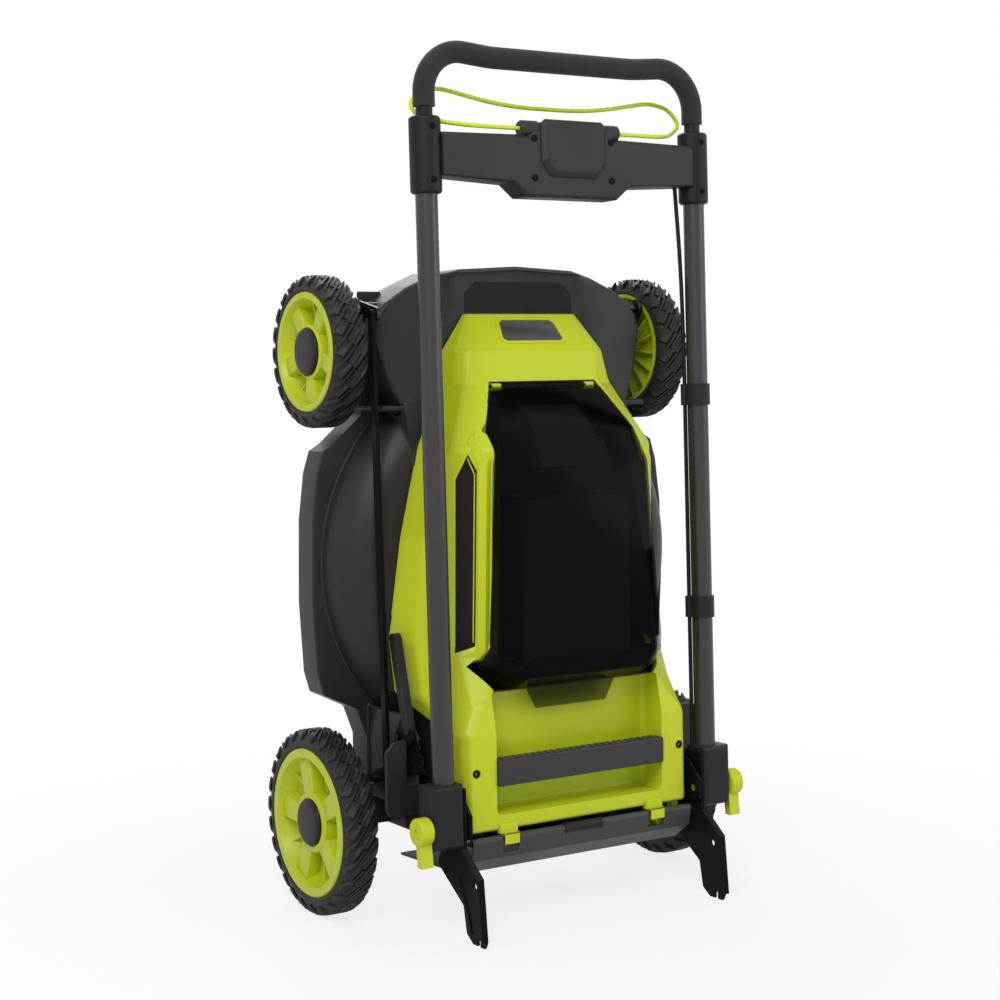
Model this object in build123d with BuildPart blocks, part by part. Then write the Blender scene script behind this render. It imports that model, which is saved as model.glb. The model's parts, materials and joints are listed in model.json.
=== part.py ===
import os
from math import atan2, cos, degrees, hypot, radians, sin, tan

from build123d import *

os.makedirs("parts", exist_ok=True)

# The mower stands folded on its rear wheels and two stand legs.
# X points to the mower's right, Y from the viewer towards the mowing ground, Z from the floor to the nose.

# Stance
depth = 351.0                   # from the front of the stand legs to the mowing ground
rear_axle_y = 64.5              # the deck and the axles are placed from here

# Clearances
running = 0.08                  # radial play of a running pin
seat = 0.2                      # play of a fixed piece in its seat
moving = 1.0                    # gap beside a moving piece

# Wheels
front_tyre_radius = 90.5
rear_tyre_radius = 111.0
wheelbase = 559.0
front_wheel_face = 253.5        # outer face of the front wheels from the middle
rear_wheel_face = 272.0
front_wheel_width = 41.0
rear_wheel_width = 40.0
front_rim_radius = 71.0
rear_rim_radius = 88.5
tyre_shoulder = 9.0
rim_wall = 5.0
rim_lip = 6.0                   # flat ring round the wheel's face
rim_web = 4.0                   # thickness of the dish behind the spokes
rim_dish = 20.0                 # depth of the dish below the wheel's face
spoke_count = 5
spoke_width = 20.0
spoke_drop = 6.0                # top of the spokes below the wheel's face
spoke_share = 0.75              # part of the way from hub to lip that the spokes cover
spoke_angle = 90.0
hub_radius = 33.0
hub_foot = 6.0                  # the dish ends this far outside the hub
hub_tube = 18.0
hub_cap_radius = 28.0
hub_cap_height = 5.0
hub_cap_edge = 3.0

# Axles and height adjustment
axle_radius = 6.0
crank_length = 65.0
crank_angle = 53.0              # the wheels hang this far below the level of their cranks
crank_plate = 6.0
crank_eye = 11.0
front_crank_x = 203.0
rear_crank_x = 218.0
horn_length = 42.0
horn_angle = 192.0
horn_plate = 4.0
horn_eye = 8.0
horn_x = 198.0
link_pin_radius = 4.0
link_width = 10.0
link_plate = 5.0
front_pin_play = 0.4            # wider hole at the front end of the link
lever_x = 192.0
lever_plate = 4.0
lever_width = 12.0
lever_knee = (-50.0, 222.0)
lever_tip = (-19.0, 334.0)
lever_grip_width = 15.0
lever_grip_thickness = 9.0
lever_bare = 12.0               # upper lever left bare below the grip
quadrant_inner = 55.0           # radii of the notched plate about the rear axle
quadrant_outer = 100.0
quadrant_plate = 2.5
quadrant_start = 120.0
quadrant_end = 168.0
quadrant_notch = 4.0
quadrant_notches = 5
quadrant_bolt_ring = 66.0
quadrant_bolt_radius = 5.0
quadrant_bolt_height = 1.5

# Blade and motor
blade_z = 415.0                 # height of the blade's axis above the floor
blade_tip_gap = 7.0             # between the blade's sweep and the dome
blade_width = 52.0
blade_thickness = 4.0
blade_y = 84.0
shaft_radius = 8.0
holder_radius = 32.0
holder_height = 9.0
bolt_head = 11.0
bolt_height = 8.0
motor_radius = 62.0
motor_height = 62.0

# Deck shell
wall = 4.0
flange_y = 62.7                 # top of the skirt
skirt_y = 101.7                 # lower rim of the skirt
top_y = 5.0                     # flat top of the dome, where the motor cover sits
dome_flat = 181.0
dome_radius = 246.0
dome_shoulder = (228.0, 22.0)
nose_y = 6.7                    # flat top of the nose
nose_reach = 96.0               # from the front axle to the tip of the nose
deck_rear = 97.0
rear_half_width = 163.0
rear_top_y = -74.0
rear_shelf_z = 229.0            # where the top of the rear body starts to fall towards the dome
plinth_rear = 266.0
label_depth = 1.5
chute_half_width = 112.0
chute_top_y = -60.0
chute_floor_y = 10.0
chute_bend_z = 212.0
chute_end = 252.0
guard_inner = 183.0
guard_outer = 229.0
guard_y = -54.0
guard_low = 134.0
guard_high = 221.0
guard_slot_outer = 200.0
guard_slot_low = 170.0
axle_box_inner = 160.0
axle_box_outer = 192.0
axle_box_half = 71.0
axle_box_y = 10.0

# Motor cover
cover_wall = 3.0
cover_rear = 116.0
cover_front = 713.0
panel_y = -118.3                # flat rear panel of the cover
pod_outer = (143.0, -66.0)      # the sloping strips that hold the vents run from here
pod_inner = (111.0, -100.0)     # to here, beside the lid
recess_half_width = 119.0
recess_low = 134.0
recess_floor_y = -82.0
grab_bar_low = 168.0
grab_bar_high = 199.0
grab_bar_front = -123.3
grab_bar_depth = 18.0
grab_rib_pitch = 9.0
grab_rib_radius = 2.2
screw_x = 146.0
screw_z = 185.7
screw_radius = 4.5
screw_sink = 2.0
hook_x = 105.0
hook_width = 20.0
hook_depth = 15.0
badge_width = 92.0
badge_height = 34.0
badge_thickness = 2.0
badge_angle = 78.0
grille_thickness = 2.0
grille_sink = 1.0               # front of the grille below the pod
grille_slot = 3.0
grille_slot_length = 14.0
grille_pitch = 9.0

# Battery and lid
lid_wall = 3.0
lid_gap = 1.5
lid_hinge_y = -44.0
lid_hinge_z = 627.0
lid_barrel_radius = 5.0
lid_barrel_half = 58.0
hinge_pin_radius = 2.5
hinge_pin_half = 75.0
lug_height = 21.0
lug_depth = 6.0
lid_edge = 9.0                  # rounding of the lid's outer edges
lid_edge_back = -110.0          # edges in front of this depth are rounded
tray_y = -64.0
tray_thickness = 3.0
tray_half_width = 92.0
tray_low = 288.0
tray_high = 545.0
post_radius = 7.0
post_inset = 10.0
pack_half_width = 78.0
pack_low = 306.0
pack_high = 500.0
pack_height = 50.0
pack_edge = 8.0

# Rear flap
flap_y = -122.0
flap_z = 107.0
flap_half_width = 157.0
flap_barrel_radius = 5.0
flap_wall = 3.0
flap_hinge_half = 161.0

# Handle pivot
pivot_y = -123.3
pivot_z = 131.0
pivot_radius = 4.0
bracket_plate = 4.0
leg_x = 169.0
leg_plate = 3.5
leg_lip = 8.0
leg_hole_radius = 4.0
leg_notch_width = 6.0
leg_notch_depth = 9.0
leg_rib_width = 5.0
leg_rib_height = 1.5

# Handle
tube_radius = 12.7
tube_wall = 1.5
tube_x = 189.0
tube_pivot_y = -116.0           # tube axis beside the pivot
lean = 1.58                     # the folded handle leans this far towards the deck
tube_low = 19.0                 # lengths along the handle from the pivot
tube_high = 756.0
knuckle_outer = 213.0
knuckle_front = 19.0
knuckle_back = 15.0
knuckle_low = -24.0
knuckle_high = 49.0
knuckle_edge = 6.0
collar_radius = 18.0
collar_low = 713.0
collar_high = 799.0
collar_edge = 4.0
collar_screws = (727.5, 786.5)
bar_radius = 9.5
bar_top = 878.0
bar_dip = 870.0
bar_dip_half = 100.0
bar_bend = 48.0
bar_dip_bend = 200.0
grip_radius = 12.5
grip_low = 810.0
cross_low = 735.0
cross_high = 779.0
cross_half_depth = 14.0
box_half_width = 68.0
box_low = 714.0
box_high = 799.0
box_corner = 14.0
box_front = 18.0
box_back = 16.0
box_wall = 3.0
box_screw_x = 54.2
box_screws = (734.5, 779.5)
panel_half_width = 40.0
panel_low = 738.0
panel_high = 797.0
panel_height = 13.0
panel_corner = 11.0
panel_edge = 2.0
small_screw_radius = 4.0
small_screw_height = 1.6

# Controls
bail_radius = 2.5
bail_n = 8.4                    # pivot of the bail in front of the tubes
bail_s = 791.0
bail_start = 62.0
button_radius = 11.0
button_height = 6.0
button_play = 0.3
button_x = 30.0
button_s = 760.0
cable_radius = 2.5
clip_places = (208.0, 469.0)
clip_height = 26.0
clip_wall = 2.5
knob_radius = 16.0
knob_inner = 214.0
knob_outer = 231.0
knob_edge = 3.0
tail_length = 40.0
tail_thickness = 10.0
tail_width = 15.0

# Bends of wires and cables
bend_share = 0.45               # part of a run that its bend may take up

# Worked out places
ground = rear_axle_y + rear_tyre_radius
foot_front = ground - depth
middle = ground - depth / 2     # the whole is centred on this depth
rear_axle = (rear_axle_y, rear_tyre_radius)
front_axle = (ground - front_tyre_radius, rear_tyre_radius + wheelbase)
crank = (crank_length * cos(radians(crank_angle)), -crank_length * sin(radians(crank_angle)))
rear_pivot = (rear_axle[0] - crank[0], rear_axle[1] - crank[1])
front_pivot = (front_axle[0] - crank[0], front_axle[1] - crank[1])
horn = (horn_length * cos(radians(horn_angle)), horn_length * sin(radians(horn_angle)))
rear_pin = (rear_pivot[0] + horn[0], rear_pivot[1] + horn[1])
front_pin = (front_pivot[0] + horn[0], front_pivot[1] + horn[1])
along = Vector(0, sin(radians(lean)), cos(radians(lean)))
towards = Vector(0, -cos(radians(lean)), sin(radians(lean)))
handle_origin = Vector(0, tube_pivot_y, pivot_z)
knuckle_inner = leg_x + leg_plate
handle_plane = Plane(origin=handle_origin, x_dir=(1, 0, 0), z_dir=towards)


def facing(y):
    """Plane seen from the front at this depth: X to the right, Z up."""
    return Plane.XZ.offset(-y)


def beside(x):
    """Plane seen from the right at this width: Y to the right, Z up."""
    return Plane.YZ.offset(x)


def handle_point(x, n, s):
    """Point beside the handle: across, towards the viewer and along the tubes."""
    return handle_origin + Vector(x, 0, 0) + towards * n + along * s


def around(place, radius, angle):
    """Place at this distance and angle from another in Y and Z."""
    return place[0] + radius * cos(radians(angle)), place[1] + radius * sin(radians(angle))


def both_sides(half):
    return half + [(-x, z) for x, z in reversed(half)]


def slab(outline, back, front, mode=Mode.ADD, inset=0.0):
    """Solid between two depths, from an outline in X and Z."""
    with BuildSketch(facing(back)) as profile:
        Polygon(*outline, align=None)
        if inset:
            offset(amount=-inset, kind=Kind.INTERSECTION)
    extrude(profile.sketch, amount=back - front, mode=mode)


def side_slab(outline, start, end, mode=Mode.ADD):
    """Solid between two widths, from an outline in Y and Z."""
    with BuildSketch(beside(start)) as profile:
        Polygon(*outline, align=None)
    extrude(profile.sketch, amount=end - start, mode=mode)


def rod(place, radius, start, end, mode=Mode.ADD):
    """Round bar along X at a place in Y and Z."""
    with BuildSketch(beside(start)) as profile:
        with Locations(place):
            Circle(radius)
    extrude(profile.sketch, amount=end - start, mode=mode)


def post(place, radius, back, front, mode=Mode.ADD):
    """Round bar along Y at a place in X and Z."""
    with BuildSketch(facing(back)) as profile:
        with Locations(place):
            Circle(radius)
    extrude(profile.sketch, amount=back - front, mode=mode)


def strap(first, second, width, start, end, mode=Mode.ADD):
    """Flat bar with round ends between two places in Y and Z."""
    middle = ((first[0] + second[0]) / 2, (first[1] + second[1]) / 2)
    run = (second[0] - first[0], second[1] - first[1])
    with BuildSketch(beside(start)) as profile:
        with Locations(Location((middle[0], middle[1], 0), (0, 0, degrees(atan2(run[1], run[0]))))):
            SlotCenterToCenter(hypot(*run), width)
    extrude(profile.sketch, amount=end - start, mode=mode)


def handle_block(outline, back, front, mode=Mode.ADD):
    """Solid between two distances from the handle's plane, from an outline across and along it."""
    with BuildSketch(handle_plane.offset(back)) as profile:
        Polygon(*outline, align=None)
    extrude(profile.sketch, amount=front - back, mode=mode)


def handle_rod(x, n, radius, low, high, mode=Mode.ADD):
    """Round bar along the handle."""
    plane = Plane(origin=handle_point(x, n, low), x_dir=(1, 0, 0), z_dir=along)
    with BuildSketch(plane) as profile:
        Circle(radius)
    extrude(profile.sketch, amount=high - low, mode=mode)


def handle_post(x, s, radius, back, front, mode=Mode.ADD):
    """Round bar square to the handle's plane."""
    with BuildSketch(handle_plane.offset(back)) as profile:
        with Locations((x, s)):
            Circle(radius)
    extrude(profile.sketch, amount=front - back, mode=mode)


def wide_bends(points):
    """Radii of the corners of a route, each as wide as its runs leave room for."""
    radii = []
    for before, here, after in zip(points, points[1:], points[2:]):
        turn = (here - before).get_angle(after - here)
        run = min((here - before).length, (after - here).length)
        radii.append(bend_share * run / tan(radians(turn) / 2))
    return radii


def swept(points, radii, radius, bore=0.0):
    """Round bar or tube along a route with rounded corners."""
    with BuildLine() as route:
        FilletPolyline(*points, radius=radii)
    with BuildSketch(Plane(origin=route.line @ 0, z_dir=route.line % 0)) as section:
        Circle(radius)
        if bore:
            Circle(bore, mode=Mode.SUBTRACT)
    sweep(section.sketch, path=route.line)


def box_outline(half_width, low, high, corner=0.0):
    half = [(half_width - corner, high), (half_width, high - corner)]
    half += [(half_width, low + corner), (half_width - corner, low)]
    if not corner:
        half = [(half_width, high), (half_width, low)]
    return both_sides(half)


def save(piece, name):
    placed = Pos(0, -middle, 0) * piece.part
    placed.label = name
    export_step(placed, "parts/" + name + ".step")


# Deck shell
front_z = front_axle[1]
nose_front = front_z + nose_reach
skirt_half = [(95, nose_front - 2), (155, front_z + 68), (187, front_z + 24), (187, front_z - 74)]
skirt_half += [(228, front_z - 110), (242, front_z - 118), (250, front_z - 144)]
skirt_half += [(257, 470), (259, 372), (254, 287), (247, 262), (202, 240), (189, 205), (189, deck_rear)]
nose_half = [(95, nose_front - 2), (150, front_z + 68), (187, front_z + 22), (187, front_z - 2)]
nose_half += [(160, front_z - 78), (150, front_z - 130)]
plinth_half = [(78, cover_front), (112, 672), (108, 640), (146, 560), (172, 450), (190, 331), (189, 290)]
plinth_half += [(182, plinth_rear)]
label_half = [(62, front_z + 82), (78, front_z + 68), (70, front_z + 54)]
rear_side = [(rear_top_y, deck_rear), (rear_top_y, rear_shelf_z), (top_y, plinth_rear)]
rear_side += [(flange_y, plinth_rear), (flange_y, deck_rear)]
cavity_side = [(rear_top_y + wall, deck_rear + wall), (rear_top_y + wall, rear_shelf_z - wall / 2)]
cavity_side += [(top_y + wall, plinth_rear - wall / 2), (flange_y + wall, plinth_rear - wall / 2)]
cavity_side += [(flange_y + wall, deck_rear + wall)]
chute_side = [(chute_top_y, deck_rear - wall), (chute_top_y, chute_bend_z), (chute_floor_y, chute_end)]
chute_side += [(chute_floor_y, deck_rear - wall)]
rib_side = [(guard_y, guard_low), (guard_y, guard_high), (guard_y + 24, guard_high + 24)]
rib_side += [(flange_y + wall, guard_high + 24), (flange_y + wall, guard_low)]
under_side = [(chute_floor_y + wall, deck_rear + wall), (chute_floor_y + wall, plinth_rear)]
under_side += [(flange_y + wall, plinth_rear), (flange_y + wall, deck_rear + wall)]
blade_axis = Axis((0, 0, blade_z), (0, 1, 0))


def dome_profile(shrink):
    """Half section of the dome, thinner all round by the given wall."""
    with BuildSketch(Plane.XY.offset(blade_z)) as profile:
        with BuildLine():
            Polyline((dome_flat - shrink, top_y + shrink), (0, top_y + shrink), (0, skirt_y))
            Line((0, skirt_y), (dome_radius - shrink, skirt_y))
            Line((dome_radius - shrink, skirt_y), (dome_radius - shrink, flange_y))
            ThreePointArc(
                (dome_radius - shrink, flange_y),
                (dome_shoulder[0] - shrink, dome_shoulder[1] + shrink),
                (dome_flat - shrink, top_y + shrink),
            )
        make_face()
    return profile.sketch


with BuildPart() as deck_shell:
    slab(both_sides(skirt_half), skirt_y, flange_y)
    revolve(dome_profile(0), axis=blade_axis)
    slab(both_sides(nose_half), flange_y + wall, nose_y)
    slab(both_sides(plinth_half), flange_y + wall, top_y)
    side_slab(rear_side, -rear_half_width, rear_half_width)
    for side in (-1, 1):
        axle_low = front_z - axle_box_half
        axle_high = front_z + axle_box_half
        box_half = [(side * axle_box_inner, axle_low), (side * axle_box_outer, axle_low)]
        box_half += [(side * axle_box_outer, axle_high), (side * axle_box_inner, axle_high)]
        slab(box_half, flange_y + wall, axle_box_y)
        side_slab(rib_side, side * guard_inner, side * (guard_inner + wall))
        panel = [(side * guard_inner, guard_low), (side * (guard_outer - wall), guard_low)]
        panel += [(side * guard_outer, guard_low + 2 * wall), (side * guard_outer, guard_high - 3 * wall)]
        panel += [(side * (guard_outer - 3 * wall), guard_high), (side * guard_inner, guard_high)]
        slab(panel, guard_y + wall, guard_y)
    slab(both_sides(skirt_half), skirt_y, flange_y + wall, mode=Mode.SUBTRACT, inset=wall)
    revolve(dome_profile(wall), axis=blade_axis, mode=Mode.SUBTRACT)
    slab(both_sides(nose_half), skirt_y, nose_y + wall, mode=Mode.SUBTRACT, inset=wall)
    slab(both_sides(plinth_half), skirt_y, top_y + wall, mode=Mode.SUBTRACT, inset=wall)
    for side in (-1, 1):
        cavity_inner = side * (chute_half_width + wall)
        side_slab(cavity_side, cavity_inner, side * (rear_half_width - wall), Mode.SUBTRACT)
    side_slab(under_side, wall - rear_half_width, rear_half_width - wall, mode=Mode.SUBTRACT)
    side_slab(chute_side, -chute_half_width, chute_half_width, mode=Mode.SUBTRACT)
    slot = [(-guard_inner - wall, guard_slot_low), (-guard_slot_outer, guard_slot_low)]
    slot += [(-guard_slot_outer, guard_high + wall), (-guard_inner - wall, guard_high + wall)]
    slab(slot, guard_y + 2 * wall, guard_y - wall, mode=Mode.SUBTRACT)
    slab(both_sides(label_half), nose_y + label_depth, nose_y, mode=Mode.SUBTRACT)
    post((0, blade_z), shaft_radius + 2 * moving, top_y + 2 * wall, top_y - wall, mode=Mode.SUBTRACT)
    rod(rear_pivot, axle_radius + running, -guard_outer, guard_outer, mode=Mode.SUBTRACT)
    rod(front_pivot, axle_radius + running, -axle_box_outer - wall, axle_box_outer + wall, mode=Mode.SUBTRACT)
save(deck_shell, "deck_shell")

# Motor cover: half sections from the rear edge to the nose,
# each from its foot over ridge and shoulder to the crown
rear_foot = rear_top_y - seat
foot = top_y - seat
cover_sections = [
    (cover_rear, [(158, rear_foot), (160, -92), (160, -108), (154, panel_y)]),
    (rear_shelf_z, [(160, rear_foot), (162, -92), (158, -108), (152, panel_y)]),
    (plinth_rear, [(182, foot), (176, -48), (142, -104), (124, -110)]),
    (331, [(190, foot), (174, -30), pod_outer, pod_inner]),
    (450, [(172, foot), (163, -34), pod_outer, pod_inner]),
    (555, [(147, foot), (145, -38), pod_outer, pod_inner]),
    (631, [(112, foot), (110, -20), (104, -36), (80, -44)]),
    (668, [(111, foot), (106, -16), (98, -28), (87, -34.5)]),
    (cover_front, [(78, foot), (77.5, 3), (76.5, 1), (74, -1)]),
]


def cover_section(height, half, inset):
    base, ridge, shoulder, crown = half
    drop = 4 * inset
    points = [(base[0] - inset, base[1] + drop), (ridge[0] - inset, ridge[1] + inset / 2)]
    points += [(shoulder[0] - inset, shoulder[1] + inset), (crown[0] - inset, crown[1] + inset)]
    with BuildSketch(Plane.XY.offset(height)) as profile:
        Polygon(*both_sides(points), align=None)
    return profile.sketch


lid_half = [(76, 631), (104, 575), (103, 540), (111, 325), (136, 305), (112, 277)]
grille_outline = [(5, 333), (5, 515), (19, 545), (30, 531), (30, 338)]
recess_high = lid_half[-1][1] + lid_gap
lid_barrel_back = lid_hinge_y + lid_barrel_radius + 2 * moving


def vent_panel(side, outline, below, above, mode=Mode.ADD, inset=0.0):
    """Solid along a pod's slope, from an outline across the slope and up."""
    across = Vector(side * (pod_inner[0] - pod_outer[0]), pod_inner[1] - pod_outer[1], 0)
    outward = Vector(0, 0, 1).cross(across) * side
    start = Vector(side * pod_outer[0], pod_outer[1], 0)
    plane = Plane(origin=start, x_dir=across, z_dir=outward)
    up = plane.y_dir.Z
    with BuildSketch(plane.offset(below)) as profile:
        Polygon(*[(s, up * z) for s, z in outline], align=None)
        if inset:
            offset(amount=-inset, kind=Kind.INTERSECTION)
    extrude(profile.sketch, amount=above - below, mode=mode)


with BuildPart() as motor_cover:
    loft([cover_section(height, half, 0) for height, half in cover_sections], ruled=True)
    inner = [cover_section(height, half, cover_wall) for height, half in cover_sections[1:-1]]
    inner.insert(0, cover_section(cover_rear + cover_wall, cover_sections[0][1], cover_wall))
    inner.append(cover_section(cover_front - cover_wall, cover_sections[-1][1], cover_wall))
    loft(inner, ruled=True, mode=Mode.SUBTRACT)
    lining = box_outline(recess_half_width + cover_wall, recess_low - cover_wall, recess_high)
    slab(lining, recess_floor_y + cover_wall, panel_y + cover_wall / 2)
    recess = box_outline(recess_half_width, recess_low, recess_high)
    slab(recess, recess_floor_y, panel_y - wall, mode=Mode.SUBTRACT)
    slab(both_sides(lid_half), lid_barrel_back, panel_y - wall, mode=Mode.SUBTRACT, inset=-lid_gap)
    for side in (-1, 1):
        vent_panel(side, grille_outline, -3 * cover_wall, wall, Mode.SUBTRACT)
        hook = [(flap_y - flap_barrel_radius, flap_z - flap_barrel_radius / 2)]
        hook += [(flap_y - flap_barrel_radius, cover_rear + hook_depth), (panel_y, cover_rear + hook_depth)]
        hook += [(panel_y + cover_wall, cover_rear), (panel_y + cover_wall, flap_z - flap_barrel_radius / 2)]
        side_slab(hook, side * hook_x - hook_width / 2, side * hook_x + hook_width / 2)
        hook_bore = hinge_pin_radius + seat / 2
        bore_start = side * hook_x - hook_width
        rod((flap_y, flap_z), hook_bore, bore_start, bore_start + 2 * hook_width, Mode.SUBTRACT)
        lug_inner = side * (lid_barrel_half + moving)
        rod((lid_hinge_y, lid_hinge_z), lid_barrel_radius, lug_inner, side * hinge_pin_half)
        lug = [(lug_inner, lid_hinge_z), (side * hinge_pin_half, lid_hinge_z)]
        lug += [(side * hinge_pin_half, lid_hinge_z + lug_height), (lug_inner, lid_hinge_z + lug_height)]
        lug_back = lid_hinge_y + lid_barrel_radius
        slab(lug, lug_back + cover_wall, lug_back - lug_depth / 2)
        screw_place = (side * screw_x, screw_z)
        post(screw_place, screw_radius + moving, panel_y + screw_sink, panel_y - wall, Mode.SUBTRACT)
    pin_seat = hinge_pin_radius + seat / 2
    rod((lid_hinge_y, lid_hinge_z), pin_seat, -hinge_pin_half, hinge_pin_half, Mode.SUBTRACT)
save(motor_cover, "motor_cover")

# Battery lid
lid_flange_y = -96.0
lid_base_y = -86.0
lid_foot = (-141.6, 302)
lid_brow = (-124, 530)
lid_top = (lid_hinge_y - lid_barrel_radius, lid_hinge_z)
notch_low = lid_hinge_z - lid_barrel_radius - 2 * lid_wall
lid_low = lid_half[-1][1]
lid_side = [(lid_base_y, lid_low), lid_foot, lid_brow, lid_top, (lid_hinge_y, lid_top[1])]
lid_side += [(lid_hinge_y, lid_top[1] - 4 * lid_wall), (lid_base_y, 560)]
hollow_side = [(lid_barrel_back, lid_low + lid_wall), (lid_base_y, lid_low + lid_wall)]
hollow_side += [(lid_foot[0] + lid_wall, lid_foot[1] + lid_wall)]
hollow_side += [(lid_brow[0] + lid_wall, lid_brow[1] - lid_wall / 2)]
hollow_side += [(lid_top[0], lid_top[1] - 2 * lid_wall), (lid_barrel_back, lid_top[1] - 2 * lid_wall)]
hump_half = [(74, lid_half[0][1]), (101, 575), (103, lid_low)]
tab_half = [(65, lid_low + lid_wall), (50, 249)]
hump_reach = lid_half[3][0]

with BuildPart() as hump:
    side_slab(lid_side, -hump_reach, hump_reach)
    slab(both_sides(hump_half), lid_barrel_back, foot_front, mode=Mode.INTERSECT)
    fillet(hump.edges().filter_by(lambda edge: edge.center().Y < lid_edge_back), lid_edge)

with BuildPart() as hollow:
    side_slab(hollow_side, -hump_reach, hump_reach)
    slab(both_sides(hump_half), lid_barrel_back, foot_front, mode=Mode.INTERSECT, inset=lid_wall)

with BuildPart() as battery_lid:
    add(hump.part)
    slab(both_sides(lid_half[3:]), lid_flange_y + 2 * lid_wall, lid_flange_y)
    slab(both_sides(tab_half), lid_flange_y + lid_wall, lid_flange_y)
    add(hollow.part, mode=Mode.SUBTRACT)
    for side in (-1, 1):
        notch = [(side * lid_barrel_half, notch_low), (side * hump_reach, notch_low)]
        notch += [(side * hump_reach, lid_half[0][1]), (side * lid_barrel_half, lid_half[0][1])]
        slab(notch, lid_barrel_back, foot_front, mode=Mode.SUBTRACT)
    rod((lid_hinge_y, lid_hinge_z), lid_barrel_radius, -lid_barrel_half, lid_barrel_half)
    lid_bore = hinge_pin_radius + running
    rod((lid_hinge_y, lid_hinge_z), lid_bore, -hinge_pin_half, hinge_pin_half, Mode.SUBTRACT)
save(battery_lid, "battery_lid")

with BuildPart() as lid_hinge_pin:
    rod((lid_hinge_y, lid_hinge_z), hinge_pin_radius, -hinge_pin_half, hinge_pin_half)
save(lid_hinge_pin, "lid_hinge_pin")

# Battery bay
with BuildPart() as battery_tray:
    slab(box_outline(tray_half_width, tray_low, tray_high), tray_y + tray_thickness, tray_y)
    for side in (-1, 1):
        for height in (tray_low + post_inset, tray_high - post_inset):
            post((side * (tray_half_width - post_inset), height), post_radius, top_y, tray_y)
save(battery_tray, "battery_tray")

with BuildPart() as battery_pack:
    slab(box_outline(pack_half_width, pack_low, pack_high), tray_y, tray_y - pack_height)
    fillet(battery_pack.edges().filter_by(Axis.Y), pack_edge)
    fillet(battery_pack.faces().sort_by(Axis.Y)[0].edges(), pack_edge / 2)
save(battery_pack, "battery_pack")

# Motor and blade
shaft_high = top_y - motor_height / 2
nut_low = blade_y + blade_thickness
blade_length = 2 * (dome_radius - wall - blade_tip_gap)

with BuildPart() as motor_can:
    post((0, blade_z), motor_radius, top_y, top_y - motor_height)
    fillet(motor_can.edges().sort_by(Axis.Y)[0], pack_edge)
    post((0, blade_z), shaft_radius + running, top_y, shaft_high, Mode.SUBTRACT)
save(motor_can, "motor_can")

with BuildPart() as rotor_shaft:
    post((0, blade_z), shaft_radius, nut_low + bolt_height / 2, shaft_high + moving)
save(rotor_shaft, "rotor_shaft")

with BuildPart() as blade_holder:
    post((0, blade_z), holder_radius, blade_y, blade_y - holder_height)
    post((0, blade_z), shaft_radius, blade_y, blade_y - holder_height, Mode.SUBTRACT)
save(blade_holder, "blade_holder")

with BuildPart() as blade:
    with BuildSketch(facing(nut_low)) as blade_outline:
        with Locations((0, blade_z)):
            RectangleRounded(blade_length, blade_width, blade_width / 6)
            Circle(shaft_radius, mode=Mode.SUBTRACT)
    extrude(blade_outline.sketch, amount=blade_thickness)
    chamfer(blade.edges().filter_by(Axis.X).group_by(Axis.Y)[0], blade_thickness / 2)
save(blade, "blade")

with BuildPart() as blade_nut:
    with BuildSketch(facing(nut_low + bolt_height)) as nut_outline:
        with Locations((0, blade_z)):
            RegularPolygon(bolt_head, 6)
    extrude(nut_outline.sketch, amount=bolt_height)
    post((0, blade_z), shaft_radius, nut_low + bolt_height / 2, nut_low, Mode.SUBTRACT)
save(blade_nut, "blade_nut")

# Trim of the motor cover
grille_low = grille_outline[0][1]
grille_high = grille_outline[1][1]
grille_middle = (grille_outline[0][0] + grille_outline[-1][0]) / 2
grille_slots = int((grille_high - grille_low) / grille_pitch) - 1
grille_bottom = -grille_thickness - grille_sink

for side, name in ((-1, "left"), (1, "right")):
    with BuildPart() as vent_grille:
        vent_panel(side, grille_outline, grille_bottom, -grille_sink, inset=seat)
        for index in range(grille_slots):
            low = grille_low + (index + 1) * grille_pitch
            slot_start = grille_middle - grille_slot_length / 2
            slot = [(slot_start, low), (slot_start + grille_slot_length, low)]
            slot += [(s, low + grille_slot) for s, z in reversed(slot)]
            vent_panel(side, slot, grille_bottom, -grille_sink, Mode.SUBTRACT)
    save(vent_grille, "vent_grille_" + name)

grab_half_width = recess_half_width - seat
grab_ribs = int(2 * grab_half_width / grab_rib_pitch) - 1

with BuildPart() as grab_bar:
    bar_outline = box_outline(grab_half_width, grab_bar_low, grab_bar_high)
    slab(bar_outline, grab_bar_front + grab_bar_depth, grab_bar_front)
    fillet(grab_bar.edges().filter_by(Axis.X), grab_rib_radius)
    with Locations((0, grab_bar_front + grab_bar_depth / 2, grab_bar_high)):
        with GridLocations(grab_rib_pitch, 1, grab_ribs, 1):
            Cylinder(grab_rib_radius, grab_bar_depth - 3 * grab_rib_radius, rotation=(90, 0, 0))
save(grab_bar, "grab_bar")

with BuildPart() as cover_screws:
    for side in (-1, 1):
        post((side * screw_x, screw_z), screw_radius, panel_y + screw_sink, panel_y)
        post((side * screw_x, screw_z), screw_radius / 2, panel_y + screw_sink / 2, panel_y, Mode.SUBTRACT)
save(cover_screws, "cover_screws")

slope_low, slope_high = [Vector(0, half[3][1], height) for height, half in cover_sections[-2:]]
slope = slope_high - slope_low
badge_plane = Plane(origin=slope_low + slope * 0.5, x_dir=(1, 0, 0), z_dir=(0, -slope.Z, slope.Y))

with BuildPart() as badge_plate:
    with BuildSketch(badge_plane) as badge:
        Trapezoid(badge_width, badge_height, badge_angle)
    extrude(badge.sketch, amount=badge_thickness)
save(badge_plate, "badge_plate")

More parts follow.
